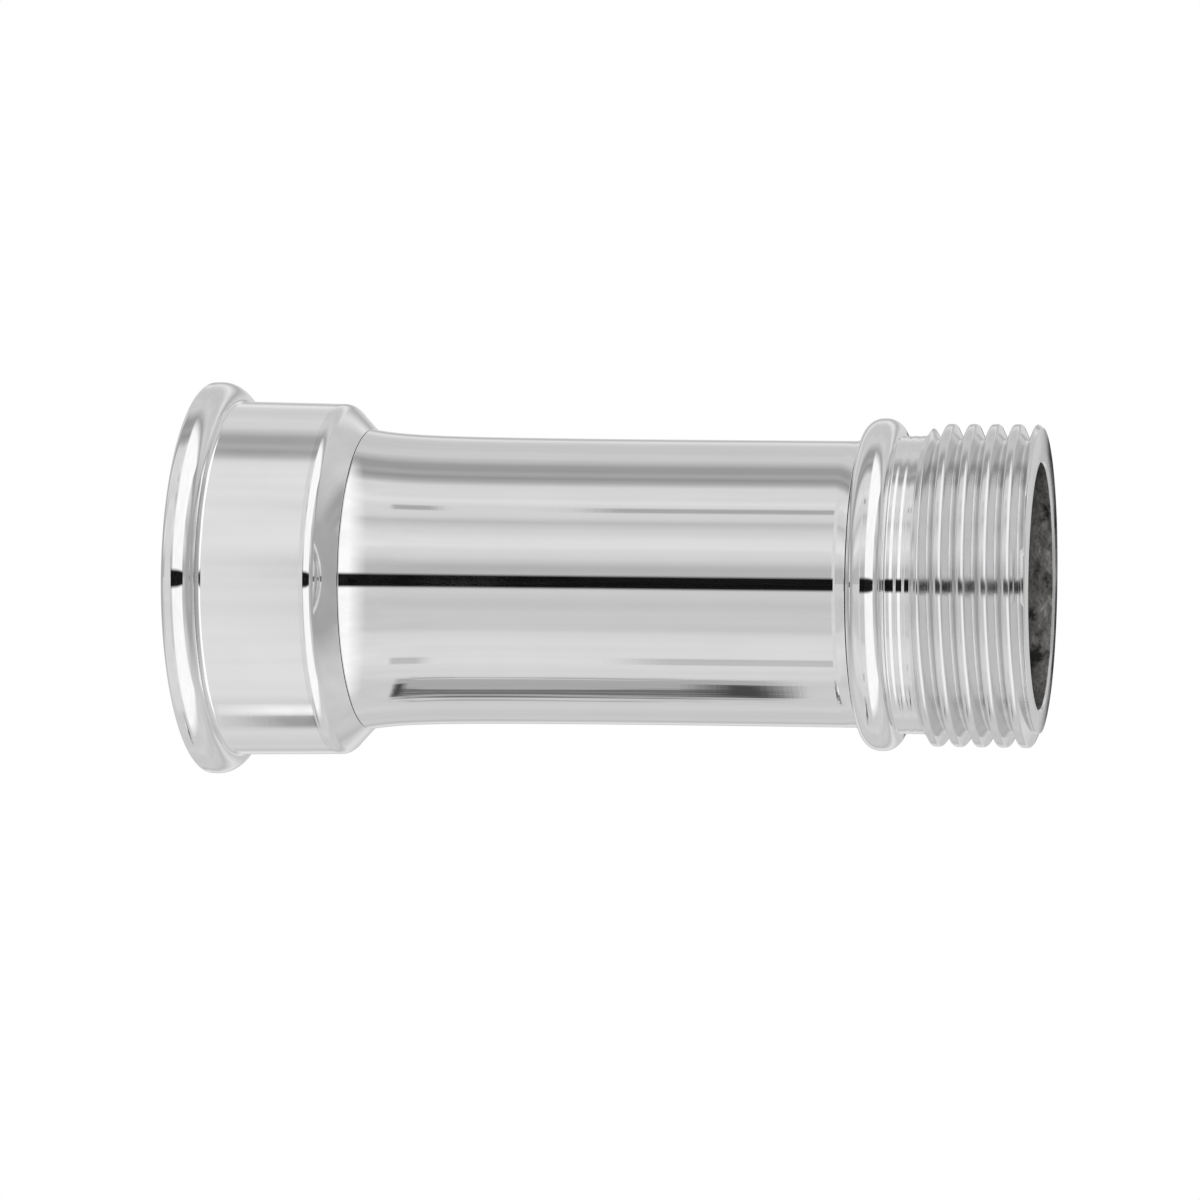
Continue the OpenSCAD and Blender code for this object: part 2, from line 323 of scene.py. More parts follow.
@dataclass(frozen=True)
class Lathe:
    """Spins an outline about the axis.

    Attributes:
        segments: Steps round the axis.
        closed: Whether the outline joins up; an open one starts and ends on the axis.
        corner_steps: Steps along each rounded corner.
        feel: Distance over which a law's slope is read, in millimetres.
        feel_turn: Angle over which its slope round the axis is read, in radians.
    """

    segments: int = 160
    closed: bool = True
    corner_steps: int = 5
    feel: float = 0.003
    feel_turn: float = 0.003 / 9

    def follow(
        self, law: RadiusLaw, x: np.ndarray, angle: np.ndarray, way: int
    ) -> tuple[np.ndarray, np.ndarray]:
        """Points and shading normals of a surface given by a law.

        Args:
            law: The radius at every place and angle.
            x: Places along the axis.
            angle: Angles round the axis in radians.
            way: 1 for an outside surface, -1 for an inside one.

        Returns:
            Points and normals, one row each.
        """
        step, turn = self.feel, self.feel_turn
        r = law(x, angle)
        slope = (law(x + step, angle) - law(x - step, angle)) / (2 * step)
        twist = (law(x, angle + turn) - law(x, angle - turn)) / (2 * turn) / r
        size = way / np.sqrt(slope**2 + 1 + twist**2)
        nx, nr, nt = -slope * size, size, -twist * size
        c, s = np.cos(angle), np.sin(angle)
        points = np.stack([x, r * c, r * s], axis=-1)
        normals = np.stack([nx, nr * c - nt * s, nr * s + nt * c], axis=-1)
        return points, normals

    def circle(self, rings: Sequence[Ring], j: int) -> tuple[np.ndarray, np.ndarray]:
        """Points and shading normals round one ring.

        Args:
            rings: All the rings.
            j: Number of the ring.

        Returns:
            Points and normals, one row for each angle.
        """
        ring = rings[j]
        angle = np.arange(self.segments) * 2 * math.pi / self.segments
        if ring.law is not None and not (ring.nx or ring.nr):
            other = rings[j + 1] if ring.thread is not None else rings[j - 1]
            ahead = (other.x - ring.x) * (1 if ring.thread is not None else -1)
            x = np.full(self.segments, ring.x)
            return self.follow(ring.law, x, angle, 1 if ahead > 0 else -1)
        r = np.full(self.segments, ring.r)
        if ring.law is not None:
            r = ring.law(np.full(self.segments, ring.probe_x), angle) - ring.drop
        c, s = np.cos(angle), np.sin(angle)
        points = np.stack([np.full(self.segments, ring.x), r * c, r * s], axis=-1)
        normals = np.stack([np.full(self.segments, ring.nx), ring.nr * c, ring.nr * s], axis=-1)
        return points, normals

    def sheet(
        self, thread: Threaded, first: int, opening: np.ndarray, closing: np.ndarray
    ) -> tuple[np.ndarray, np.ndarray, list[tuple[int, ...]]]:
        """Rows of points that follow a thread round, between two plain rings.

        Args:
            thread: The threaded stretch.
            first: Number that the first new point gets.
            opening: Point numbers of the ring at the stretch's start.
            closing: Point numbers of the ring at its end.

        Returns:
            New points, their normals, and the faces.
        """
        side = 1 if thread.x1 > thread.x0 else -1
        marks = np.asarray(thread.marks)
        per = len(marks)
        low, high = sorted((thread.x0, thread.x1))
        turns = range(
            math.floor((low - marks[-1]) / thread.pitch) - 1,
            math.ceil((high - marks[0]) / thread.pitch) + 2,
        )
        rows = np.concatenate([marks + k * thread.pitch for k in turns])[::side]
        snap = 0.35 * float(np.min(np.diff(marks)))
        shift = thread.pitch / self.segments
        numbers = np.empty((self.segments, len(rows)), int)
        xs, angles = [], []
        for i in range(self.segments):
            angle = 2 * math.pi * i / self.segments
            for j, row in enumerate(rows):
                x = row + shift * i
                gone = (x - thread.x0) * side
                left = (thread.x1 - x) * side
                if gone < snap:
                    numbers[i, j] = opening[i]
                elif left < snap:
                    numbers[i, j] = closing[i]
                else:
                    numbers[i, j] = first + len(xs)
                    xs.append(x)
                    angles.append(angle)
        faces = []
        last = len(rows) - 1
        for i in range(self.segments):
            wraps = i == self.segments - 1
            n = 0 if wraps else i + 1
            jump = side * per if wraps else 0
            for j in range(last):
                near, far = (min(max(j + d + jump, 0), last) for d in (0, 1))
                ids = (numbers[i, j], numbers[n, near], numbers[n, far], numbers[i, j + 1])
                ring = tuple(int(v) for k, v in enumerate(ids) if v != ids[k - 1])
                if len(set(ring)) >= 3:
                    faces.append(ring)
        points, normals = self.follow(thread.law, np.array(xs), np.array(angles), side)
        return points, normals, faces

    def spin(self, name: str, outline: Sequence[OutlineItem]) -> bpy.types.Object:
        """Makes the turned piece.

        Args:
            name: Name of the piece.
            outline: Its outline.

        Returns:
            The new object.
        """
        rings = trace(outline, self.closed, self.corner_steps)
        inner = rings if self.closed else rings[1:-1]
        circles = [self.circle(inner, j) for j in range(len(inner))]
        points = [c[0] for c in circles]
        normals = [c[1] for c in circles]
        turns, count = self.segments, len(inner)
        total = turns * count
        faces: list[tuple[int, ...]] = []
        skins: list[int] = []
        for j in range(count if self.closed else count - 1):
            k = (j + 1) % count
            here, there = np.arange(turns) + j * turns, np.arange(turns) + k * turns
            if inner[j].thread is not None:
                new, shades, some = self.sheet(inner[j].thread, total, here, there)
                points.append(new)
                normals.append(shades)
                total += len(new)
            else:
                ahead_here, ahead_there = np.roll(here, -1), np.roll(there, -1)
                stack = np.stack([here, ahead_here, ahead_there, there], axis=1)
                some = [tuple(row) for row in stack.tolist()]
            faces += some
            skins += [inner[j].skin] * len(some)
        if not self.closed:
            for ring, row, side in ((rings[0], 0, -1), (rings[-1], count - 1, 1)):
                points.append(np.array([[ring.x, 0, 0]]))
                normals.append(np.array([[side, 0, 0]], float))
                start = row * turns
                for i in range(turns):
                    pair = (start + i, start + (i + 1) % turns)
                    faces.append((total, *pair[::side]))
                    skins.append(inner[row].skin)
                total += 1
        return mesh_object(name, np.vstack(points), faces, np.vstack(normals), skins)


def sweep(
    path: np.ndarray, radius: float, sides: int
) -> tuple[np.ndarray, list[tuple[int, ...]], np.ndarray]:
    """Sweeps a round wire along a path.

    Args:
        path: Points of the wire's centre, one row each.
        radius: The wire's radius.
        sides: Number of sides of its section.

    Returns:
        Points, faces and normals, with both ends capped.
    """
    tangents = np.gradient(path, axis=0)
    tangents /= np.linalg.norm(tangents, axis=1)[:, None]
    side = np.cross(tangents[0], [1.0, 0.0, 0.0])
    if np.linalg.norm(side) < 1e-3:
        side = np.cross(tangents[0], [0.0, 1.0, 0.0])
    points, normals = [], []
    turn = np.arange(sides) * 2 * math.pi / sides
    for place, along in zip(path, tangents, strict=True):
        side = side - along * (side @ along)
        side /= np.linalg.norm(side)
        up = np.cross(along, side)
        out = np.cos(turn)[:, None] * side + np.sin(turn)[:, None] * up
        points.append(place + radius * out)
        normals.append(out)
    faces: list[tuple[int, ...]] = []
    for i in range(len(path) - 1):
        for j in range(sides):
            k = (j + 1) % sides
            a, b = i * sides, (i + 1) * sides
            faces.append((a + j, a + k, b + k, b + j))
    last = (len(path) - 1) * sides
    faces.append(tuple(range(sides))[::-1])
    faces.append(tuple(range(last, last + sides)))
    return np.vstack(points), faces, np.vstack(normals)


def gathered(
    name: str, parts: Sequence[tuple[np.ndarray, list[tuple[int, ...]], np.ndarray]]
) -> bpy.types.Object:
    """Joins swept wires into one object.

    Args:
        name: Name of the piece.
        parts: Points, faces and normals of each wire.

    Returns:
        The new object.
    """
    faces: list[tuple[int, ...]] = []
    start = 0
    for points, some, _ in parts:
        faces += [tuple(start + k for k in f) for f in some]
        start += len(points)
    return mesh_object(
        name, np.vstack([p[0] for p in parts]), faces, np.vstack([p[2] for p in parts])
    )


def sharpen(obj: bpy.types.Object, angle: float = 32.0) -> None:
    """Shades an object smooth apart from its edges over an angle in degrees."""
    sheet = bmesh.new()
    sheet.from_mesh(obj.data)
    for edge in sheet.edges:
        edge.smooth = len(edge.link_faces) == 2 and edge.calc_face_angle(0) < math.radians(angle)
    for face in sheet.faces:
        face.smooth = True
    sheet.to_mesh(obj.data)
    sheet.free()


def merged(name: str, solids: Sequence[bpy.types.Object]) -> bpy.types.Object:
    """Unites overlapping solids into one closed piece.

    Args:
        name: Name of the new piece.
        solids: The solids, which are removed.

    Returns:
        The new object.
    """
    base = solids[0]
    for other in solids[1:]:
        union = base.modifiers.new("union", "BOOLEAN")
        union.operation, union.solver, union.object = "UNION", "EXACT", other
    bpy.context.view_layer.update()
    graph = bpy.context.evaluated_depsgraph_get()
    mesh = bpy.data.meshes.new_from_object(base.evaluated_get(graph))
    mesh.name = name
    obj = bpy.data.objects.new(name, mesh)
    bpy.context.scene.collection.objects.link(obj)
    for old in solids:
        bpy.data.objects.remove(old)
    sharpen(obj)
    return obj


# ---------------------------------------------------------------- threads


@dataclass(frozen=True)
class Helix:
    """A right-hand thread along +X.

    Attributes:
        pitch: Distance from one crest to the next.
        root: Radius between the crests.
        crest: Radius of the crests.
        crest_flat: Width of each crest, from corner to corner.
        half_angle: Angle of each flank from square, in degrees.
        phase: Place of a crest at the bottom of the fitting, which is at -Z.
        crest_round: Radius of the rounding at the crest's corners.
        root_round: Radius of the rounding at the root's corners.
        corner_steps: Steps along each rounding.
    """

    pitch: float
    root: float
    crest: float
    crest_flat: float
    half_angle: float
    phase: float
    crest_round: float = 0.12
    root_round: float = 0.08
    corner_steps: int = 3

    def form(self) -> tuple[np.ndarray, np.ndarray]:
        """Distance from a crest's middle, and radius there, over one pitch."""
        lean = abs(self.crest - self.root) * math.tan(math.radians(self.half_angle))
        half = self.crest_flat / 2
        points = [
            Corner(-self.pitch / 2, self.root),
            Corner(-half - lean, self.root, self.root_round),
            Corner(-half, self.crest, self.crest_round),
            Corner(half, self.crest, self.crest_round),
            Corner(half + lean, self.root, self.root_round),
            Corner(self.pitch / 2, self.root),
        ]
        rings = trace(points, closed=False, corner_steps=self.corner_steps)
        return np.array([g.x for g in rings]), np.array([g.r for g in rings])

    def marks(self) -> tuple[float, ...]:
        """Places of a pitch's rows of points at an angle of 0."""
        return tuple((self.form()[0][:-1] + self.phase + self.pitch / 4).tolist())

    def share(self, x: np.ndarray, angle: np.ndarray) -> np.ndarray:
        """Height of the thread at each place, from 0 at the root to 1 at the crest."""
        turn = (angle + math.pi / 2) / (2 * math.pi)
        t = (x - self.phase) / self.pitch - turn
        t = (t - np.round(t)) * self.pitch
        place, radius = self.form()
        return (np.interp(t, place, radius) - self.root) / (self.crest - self.root)


def ramp(x: np.ndarray, x0: float, x1: float) -> np.ndarray:
    """Rises smoothly from 0 at x0 to 1 at x1."""
    t = np.clip((x - x0) / (x1 - x0), 0, 1)
    return t * t * (3 - 2 * t)


# ---------------------------------------------------------------- finishes


@dataclass
class Sketch:
    """Short ways to add nodes to a material or world."""

    tree: bpy.types.NodeTree

    def add(self, kind: str, settings: dict | None = None, **inputs: object) -> bpy.types.Node:
        """Adds a node.

        Args:
            kind: Blender's name of the node type, without its ShaderNode prefix.
            settings: Attributes to set on the node.
            inputs: Values or sockets for its inputs, named with _ for each space.

        Returns:
            The node.
        """
        node = self.tree.nodes.new("ShaderNode" + kind)
        for key, value in (settings or {}).items():
            setattr(node, key, value)
        self.fill(node, **inputs)
        return node

    def fill(self, node: bpy.types.Node, **inputs: object) -> None:
        """Links or sets a node's inputs, named with _ for each space."""
        for key, value in inputs.items():
            self.feed(node.inputs[key.replace("_", " ")], value)

    def feed(self, socket: bpy.types.NodeSocket, value: object) -> None:
        """Links a socket, or sets its value."""
        if isinstance(value, bpy.types.NodeSocket):
            self.tree.links.new(value, socket)
        else:
            socket.default_value = value

    def maths(self, operation: str, *values: object, clamp: bool = False) -> bpy.types.NodeSocket:
        """Adds a Math node and returns its output."""
        node = self.add("Math", {"operation": operation, "use_clamp": clamp})
        for socket, value in zip(node.inputs, values, strict=False):
            self.feed(socket, value)
        return node.outputs[0]

    def scaled(self, factors: tuple[float, float, float]) -> bpy.types.NodeSocket:
        """Object coordinates times factors, in pattern steps per metre."""
        place = self.add("TexCoord").outputs["Object"]
        return self.add("Mapping", Vector=place, Scale=factors).outputs[0]

    def noise(
        self, factors: tuple[float, float, float], detail: float = 3.0, rough: float = 0.5
    ) -> bpy.types.NodeSocket:
        """Noise at a scale along each axis, from 0 to 1."""
        return self.add(
            "TexNoise", Vector=self.scaled(factors), Scale=1.0, Detail=detail, Roughness=rough
        ).outputs["Fac"]

    def spread(
        self, value: bpy.types.NodeSocket, low: float, high: float, to_low: float, to_high: float
    ) -> bpy.types.NodeSocket:
        """Maps a value from one range to another, clamped."""
        return self.add(
            "MapRange", Value=value, From_Min=low, From_Max=high, To_Min=to_low, To_Max=to_high
        ).outputs[0]

    def blend(
        self,
        share: bpy.types.NodeSocket,
        one: tuple[float, float, float],
        other: tuple[float, float, float],
    ) -> bpy.types.NodeSocket:
        """Mixes two colours by a share."""
        node = self.add("Mix", {"data_type": "RGBA"})
        self.feed(node.inputs[0], share)
        node.inputs[6].default_value = (*one, 1)
        node.inputs[7].default_value = (*other, 1)
        return node.outputs[2]

    def relief(
        self,
        height: bpy.types.NodeSocket,
        depth: float,
        over: bpy.types.NodeSocket | None = None,
    ) -> bpy.types.NodeSocket:
        """Turns a height from 0 to 1 into a surface normal.

        Args:
            height: The height.
            depth: What a height of 1 stands for, in millimetres.
            over: A normal to lay this relief over.

        Returns:
            The normal.
        """
        node = self.add("Bump", Height=height, Strength=1.0, Distance=depth * MM)
        if over is not None:
            self.feed(node.inputs["Normal"], over)
        return node.outputs[0]


@dataclass(frozen=True)
class Finish:
    """A surface finish. Each kind paints its own nodes."""

    name: str
    colour: tuple[float, float, float]
    slot: str

    def material(self) -> bpy.types.Material:
        """The finish as a material, made once."""
        found = bpy.data.materials.get(self.name)
        if found is not None:
            return found
        made = bpy.data.materials.new(self.name)
        made.use_nodes = True
        sketch = Sketch(made.node_tree)
        self.paint(sketch, made.node_tree.nodes["Principled BSDF"])
        return made

    def shade(self, share: float) -> tuple[float, ...]:
        """The finish's colour, darkened to a share of itself."""
        return tuple(share * c for c in self.colour)

    def paint(self, sketch: Sketch, shader: bpy.types.Node) -> None:
        """Adds the finish's nodes.

        Args:
            sketch: The material's node sketch.
            shader: Its main shader.
        """
        raise NotImplementedError


@dataclass(frozen=True)
class Chrome(Finish):
    """Polished chrome plate with buffing marks and a slight wave.

    Attributes:
        gloss: Roughness where the plate is cleanest.
        haze: Roughness where it is dullest.
        wave: Depth of the slow polishing wave, in millimetres.
        marks: Depth of the fine marks round the axis, in millimetres.
        mark_pitch: Distance between those marks, in millimetres.
    """

    gloss: float = 0.02
    haze: float = 0.07
    wave: float = 0.004
    marks: float = 0.0003
    mark_pitch: float = 0.3

    def paint(self, sketch: Sketch, shader: bpy.types.Node) -> None:
        """Adds plate colour, haze, wave and marks."""
        cloud = sketch.noise((160, 160, 160), 4, 0.6)
        slow = sketch.noise((55, 240, 240), 2, 0.5)
        lines = sketch.noise((1000 / self.mark_pitch, 40, 40), 2, 0.6)
        sketch.fill(
            shader,
            Metallic=1.0,
            Base_Color=sketch.blend(cloud, self.shade(0.93), self.colour),
            Roughness=sketch.spread(cloud, 0.35, 0.7, self.gloss, self.haze),
            Normal=sketch.relief(lines, self.marks, sketch.relief(slow, self.wave)),
        )


@dataclass(frozen=True)
class Bore(Finish):
    """Unpolished plating deep in a bore, dull and blotched.

    Attributes:
        deep: Colour of the blotches.
        lumps: Depth of its lumpy skin, in millimetres.
    """

    deep: tuple[float, float, float] = (0.05, 0.049, 0.047)
    lumps: float = 0.09

    def paint(self, sketch: Sketch, shader: bpy.types.Node) -> None:
        """Adds blotches, dullness and a lumpy skin."""
        blotch = sketch.noise((420, 300, 300), 5, 0.7)
        blotch = sketch.spread(blotch, 0.4, 0.62, 0.0, 1.0)
        lump = sketch.noise((500, 420, 420), 3, 0.6)
        sketch.fill(
            shader,
            Metallic=1.0,
            Base_Color=sketch.blend(blotch, self.deep, self.colour),
            Roughness=sketch.spread(blotch, 0, 1, 0.5, 0.28),
            Normal=sketch.relief(lump, self.lumps),
        )


@dataclass(frozen=True)
class Steel(Finish):
    """Bright drawn stainless wire and strip."""

    gloss: float = 0.22

    def paint(self, sketch: Sketch, shader: bpy.types.Node) -> None:
        """Adds drawing streaks and a slight grain."""
        grain = sketch.noise((2600, 2600, 2600), 3, 0.6)
        cloud = sketch.noise((420, 420, 420), 2, 0.5)
        sketch.fill(
            shader,
            Metallic=1.0,
            Base_Color=sketch.blend(cloud, self.shade(0.8), self.colour),
            Roughness=sketch.spread(grain, 0.3, 0.7, self.gloss, self.gloss + 0.15),
            Normal=sketch.relief(grain, 0.004),
        )


@dataclass(frozen=True)
class Rubber(Finish):
    """Matte moulded rubber with a fine grain and dusty patches."""

    def paint(self, sketch: Sketch, shader: bpy.types.Node) -> None:
        """Adds grain and patches."""
        grain = sketch.noise((3500, 3500, 3500), 4, 0.6)
        patch = sketch.noise((300, 300, 300), 3, 0.6)
        dust = sketch.spread(patch, 0.45, 0.75, 0, 1)
        dusty = tuple(c + 0.035 for c in self.colour)
        sketch.fill(
            shader,
            Base_Color=sketch.blend(dust, self.colour, dusty),
            Roughness=sketch.spread(patch, 0.3, 0.7, 0.55, 0.8),
            Normal=sketch.relief(grain, 0.02),
            Specular_IOR_Level=0.35,
        )


@dataclass(frozen=True)
class Paint(Finish):
    """Matte wall paint."""

    def paint(self, sketch: Sketch, shader: bpy.types.Node) -> None:
        """Adds a faint mottle."""
        cloud = sketch.noise((6, 6, 6), 3, 0.6)
        sketch.fill(
            shader,
            Base_Color=sketch.blend(cloud, self.shade(0.985), self.colour),
            Roughness=0.95,
            Emission_Color=(1, 1, 1, 1),
            Emission_Strength=0.15,
        )


@dataclass(frozen=True)
class Gap(Finish):
    """Darkness between two panels, fading at its long edges.

    Attributes:
        low: Height of the lower edge, in millimetres.
        high: Height of the upper edge.
        fade: Width over which each edge fades.
    """

    low: float = -50.0
    high: float = 40.0
    fade: float = 15.0

    def paint(self, sketch: Sketch, shader: bpy.types.Node) -> None:
        """Adds the fading edges and a slight unevenness."""
        place = sketch.add("TexCoord").outputs["Object"]
        z = sketch.add("SeparateXYZ", Vector=place).outputs[2]
        under = sketch.spread(z, self.low * MM, (self.low + self.fade) * MM, 0, 1)
        over = sketch.spread(z, (self.high - self.fade) * MM, self.high * MM, 1, 0)
        cloud = sketch.noise((30, 30, 30), 3, 0.6)
        share = sketch.maths("MULTIPLY", under, over)
        share = sketch.maths("MULTIPLY", share, sketch.spread(cloud, 0.3, 0.7, 0.985, 1.0))
        sketch.fill(
            shader,
            Alpha=share,
            Base_Color=(*self.colour, 1),
            Roughness=1.0,
            Specular_IOR_Level=0.0,
        )


@dataclass(frozen=True)
class Moulded(Finish):
    """Moulded acetal with a waxy sheen and flow marks.

    Attributes:
        gloss: Roughness where it is smoothest.
        wax: How much light passes under the surface, from 0 to 1.
    """

    gloss: float = 0.34
    wax: float = 0.05

    def paint(self, sketch: Sketch, shader: bpy.types.Node) -> None:
        """Adds flow marks and a fine mould texture."""
        flow = sketch.noise((160, 420, 420), 3, 0.55)
        grain = sketch.noise((4200, 4200, 4200), 3, 0.6)
        sketch.fill(
            shader,
            Base_Color=sketch.blend(flow, self.shade(0.88), self.colour),
            Roughness=sketch.spread(flow, 0.3, 0.7, self.gloss, self.gloss + 0.14),
            Normal=sketch.relief(grain, 0.006),
            Subsurface_Weight=self.wax,
            Subsurface_Scale=MM,
        )


PLATE = (0.86, 0.86, 0.865)
POLISHED = Chrome("chrome_polished", PLATE, "chrome_plate")
BARREL_POLISH = Chrome(
    "chrome_barrel", PLATE, "chrome_plate", gloss=0.015, haze=0.045, wave=0.003, marks=0.0002
)
COLLAR_SATIN = Chrome(
    "chrome_collar", (0.95, 0.95, 0.95), "chrome_plate", gloss=0.07, haze=0.12, wave=0.005
)
THREAD_CHROME = Chrome(
    "chrome_thread",
    POLISHED.shade(0.93),
    "chrome_plate",
    gloss=0.07,
    haze=0.18,
    wave=0.003,
    marks=0.0009,
    mark_pitch=0.18,
)
BORED_CHROME = Bore("chrome_bored", (0.6, 0.59, 0.57), "chrome_plate")
WIRE_STEEL = Steel("steel_wire", (0.66, 0.66, 0.67), "stainless")
BLACK_RUBBER = Rubber("rubber_black", (0.02, 0.02, 0.02), "rubber")
WHITE_ACETAL = Moulded("acetal_white", (0.8, 0.8, 0.76), "acetal")
GAP = Gap("gap_dark", (0.004, 0.004, 0.004), "")
FLOOR_PAINT = Paint("floor_paint", (0.86, 0.86, 0.86), "")
BLUE_ACETAL = Moulded("acetal_blue", (0.03, 0.09, 0.28), "poppet_plastic", gloss=0.24, wax=0.02)


class Body(StrEnum):
    """The CAD bodies that pieces ride on."""

    NUT = "nut_body"
    BARREL = "barrel_body"
    UPSTREAM = "upstream_poppet_body"
    DOWNSTREAM = "downstream_poppet_body"


def dress(
    obj: bpy.types.Object,
    finishes: Sequence[Finish],
    body: Body,
    nodes: Sequence[str],
) -> bpy.types.Object:
    """Gives a piece its finishes and its body, and hides the CAD nodes that it stands for.

    Args:
        obj: The piece.
        finishes: Its finishes in the order of its skins.
        body: The CAD body that it rides on.
        nodes: The CAD nodes that it stands for.

    Returns:
        The piece.
    """
    for finish in finishes:
        obj.data.materials.append(finish.material())
    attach(obj, body.value)
    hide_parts(*nodes)
    check_room(obj, nodes)
    log.info(
        "%s: %d faces on %s, for %s", obj.name, len(obj.data.polygons), body, ", ".join(nodes)
    )
    return obj


def check_room(obj: bpy.types.Object, nodes: Sequence[str], slack: float = 0.25) -> None:
    """Warns if a piece leaves the space of the CAD nodes that it stands for.

    Args:
        obj: The piece.
        nodes: Its CAD nodes.
        slack: How far it may stand out, in millimetres.
    """
    boxes = [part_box(n) for n in nodes]
    co = np.array([v.co for v in obj.data.vertices], float)
    for axis in range(3):
        low = min(b[0][axis] for b in boxes) - slack * MM
        high = max(b[1][axis] for b in boxes) + slack * MM
        if co[:, axis].min() < low or co[:, axis].max() > high:
            log.warning(
                "%s leaves its box on axis %d: %.2f to %.2f mm, box %.2f to %.2f mm",
                obj.name,
                axis,
                co[:, axis].min() / MM,
                co[:, axis].max() / MM,
                low / MM,
                high / MM,
            )


# ---------------------------------------------------------------- chrome shells


class Skin(IntEnum):
    """Finish slots of the chrome shells."""

    POLISHED = 0
    SATIN = 1
    THREAD = 2
    BORED = 3


SHELL = (POLISHED, COLLAR_SATIN, THREAD_CHROME, BORED_CHROME)


@dataclass(frozen=True)
class PipeThread:
    """The parallel pipe thread that both ends share."""

    pitch: float = 25.4 / 14
    major: float = 13.22
    minor: float = 12.058


@dataclass
class CouplingNut:
    """Swivel nut with a rounded rim, satin collar and threaded mouth.

    Attributes:
        length: From the mouth face to the small end.
        rim: Radius of the rim.
        rim_front: Rounding of the rim's front edge.
        rim_crown: Place where the rim is widest.
        rim_back: Rounding of the rim's back.
        rim_foot: Place where the rim ends and the collar starts.
        collar: Radius of the collar at the rim.
        collar_end: Its radius at the shoulder.
        shoulder: Rounding between collar and slope.
        shoulder_x: Place where that rounding starts.
        shoulder_fall: Angle where the rounding ends, in degrees from +X.
        back: Radius of the small end.
        hole: Radius of the hole that the tail passes through.
        lip: Place of the inner face that bears on the split ring.
        chamber: Radius behind the thread.
        mouth: Radius of the thread's entry.
        first_crest: Place of a crest at the bottom.
        thread_end: Place where the thread has run out.
        runout: Length over which it fades.
        crest_flat: Width of each crest.
        flank: Angle of each flank from square, in degrees.
        lead_start: Place where the crests begin to rise at the mouth.
        lead_length: Length over which they rise.
        mouth_slope: Fall of the entry's cone for each step inwards.
        thread: The thread's sizes.
    """

    length: float = 13.8
    rim: float = 16.45
    rim_front: float = 0.4
    rim_crown: float = 0.8
    rim_back: float = 1.8
    rim_foot: float = 2.9
    collar: float = 14.82
    collar_end: float = 14.66
    shoulder: float = 1.0
    shoulder_x: float = 11.4
    shoulder_fall: float = 35.0
    back: float = 12.55
    hole: float = 11.8
    lip: float = 12.1
    chamber: float = 13.25
    mouth: float = 13.65
    first_crest: float = 2.2
    thread_end: float = 8.4
    runout: float = 0.9
    crest_flat: float = 0.45
    flank: float = 27.5
    lead_start: float = 0.2
    lead_length: float = 1.6
    mouth_slope: float = 1.1
    thread: PipeThread = field(default_factory=PipeThread)

    def female(self) -> Threaded:
        """The threaded mouth, from its inner end to the rim."""
        t = self.thread
        helix = Helix(t.pitch, t.major, t.minor, self.crest_flat, self.flank, self.first_crest)

        def law(x: np.ndarray, angle: np.ndarray) -> np.ndarray:
            """Radius of the mouth."""
            inner = ramp(x, self.thread_end - self.runout, self.thread_end)
            lead = np.clip((x - self.lead_start) / self.lead_length, 0, 1)
            height = helix.share(x, angle) * lead * (1 - inner)
            base = t.major + (self.chamber - t.major) * inner
            cone = self.mouth - self.mouth_slope * x
            return np.maximum(base - (t.major - t.minor) * height, cone)

        return Threaded(
            self.thread_end + 0.1,
            0.12,
            self.chamber,
            self.mouth - 0.13,
            law,
            t.pitch,
            helix.marks(),
            Skin.THREAD,
        )

    def outline(self) -> list[OutlineItem]:
        """The nut's outline, from the mouth face round to the mouth."""
        centre = (self.shoulder_x, self.collar_end - self.shoulder)
        return [
            Corner(0, self.mouth, 0.12),
            *bend(self.rim_front, self.rim - self.rim_front, self.rim_front, 180, 90, 12),
            *bend(self.rim_crown, self.rim - self.rim_back, self.rim_back, 90, 12, 32),
            Corner(self.rim_foot, self.collar, 0.28, Skin.SATIN),
            Corner(self.rim_foot + 0.5, self.collar - 0.006, 0, Skin.SATIN, smooth=True),
            Corner(self.shoulder_x - 0.3, self.collar_end, 0, Skin.POLISHED, smooth=True),
            *bend(*centre, self.shoulder, 90, self.shoulder_fall, 24),
            Corner(self.length, self.back, 0.12),
            *corners(
                [
                    (self.length, self.hole, 0.1),
                    (self.lip, self.hole, 0.1),
                    (self.lip, self.chamber, 0.3),
                ],
                Skin.BORED,
            ),
            self.female(),
        ]

    def build(self) -> bpy.types.Object:
        """Makes the nut."""
        obj = Lathe(240, corner_steps=6).spin("swivel_nut", self.outline())
        return dress(obj, SHELL, Body.NUT, ["coupling_nut"])


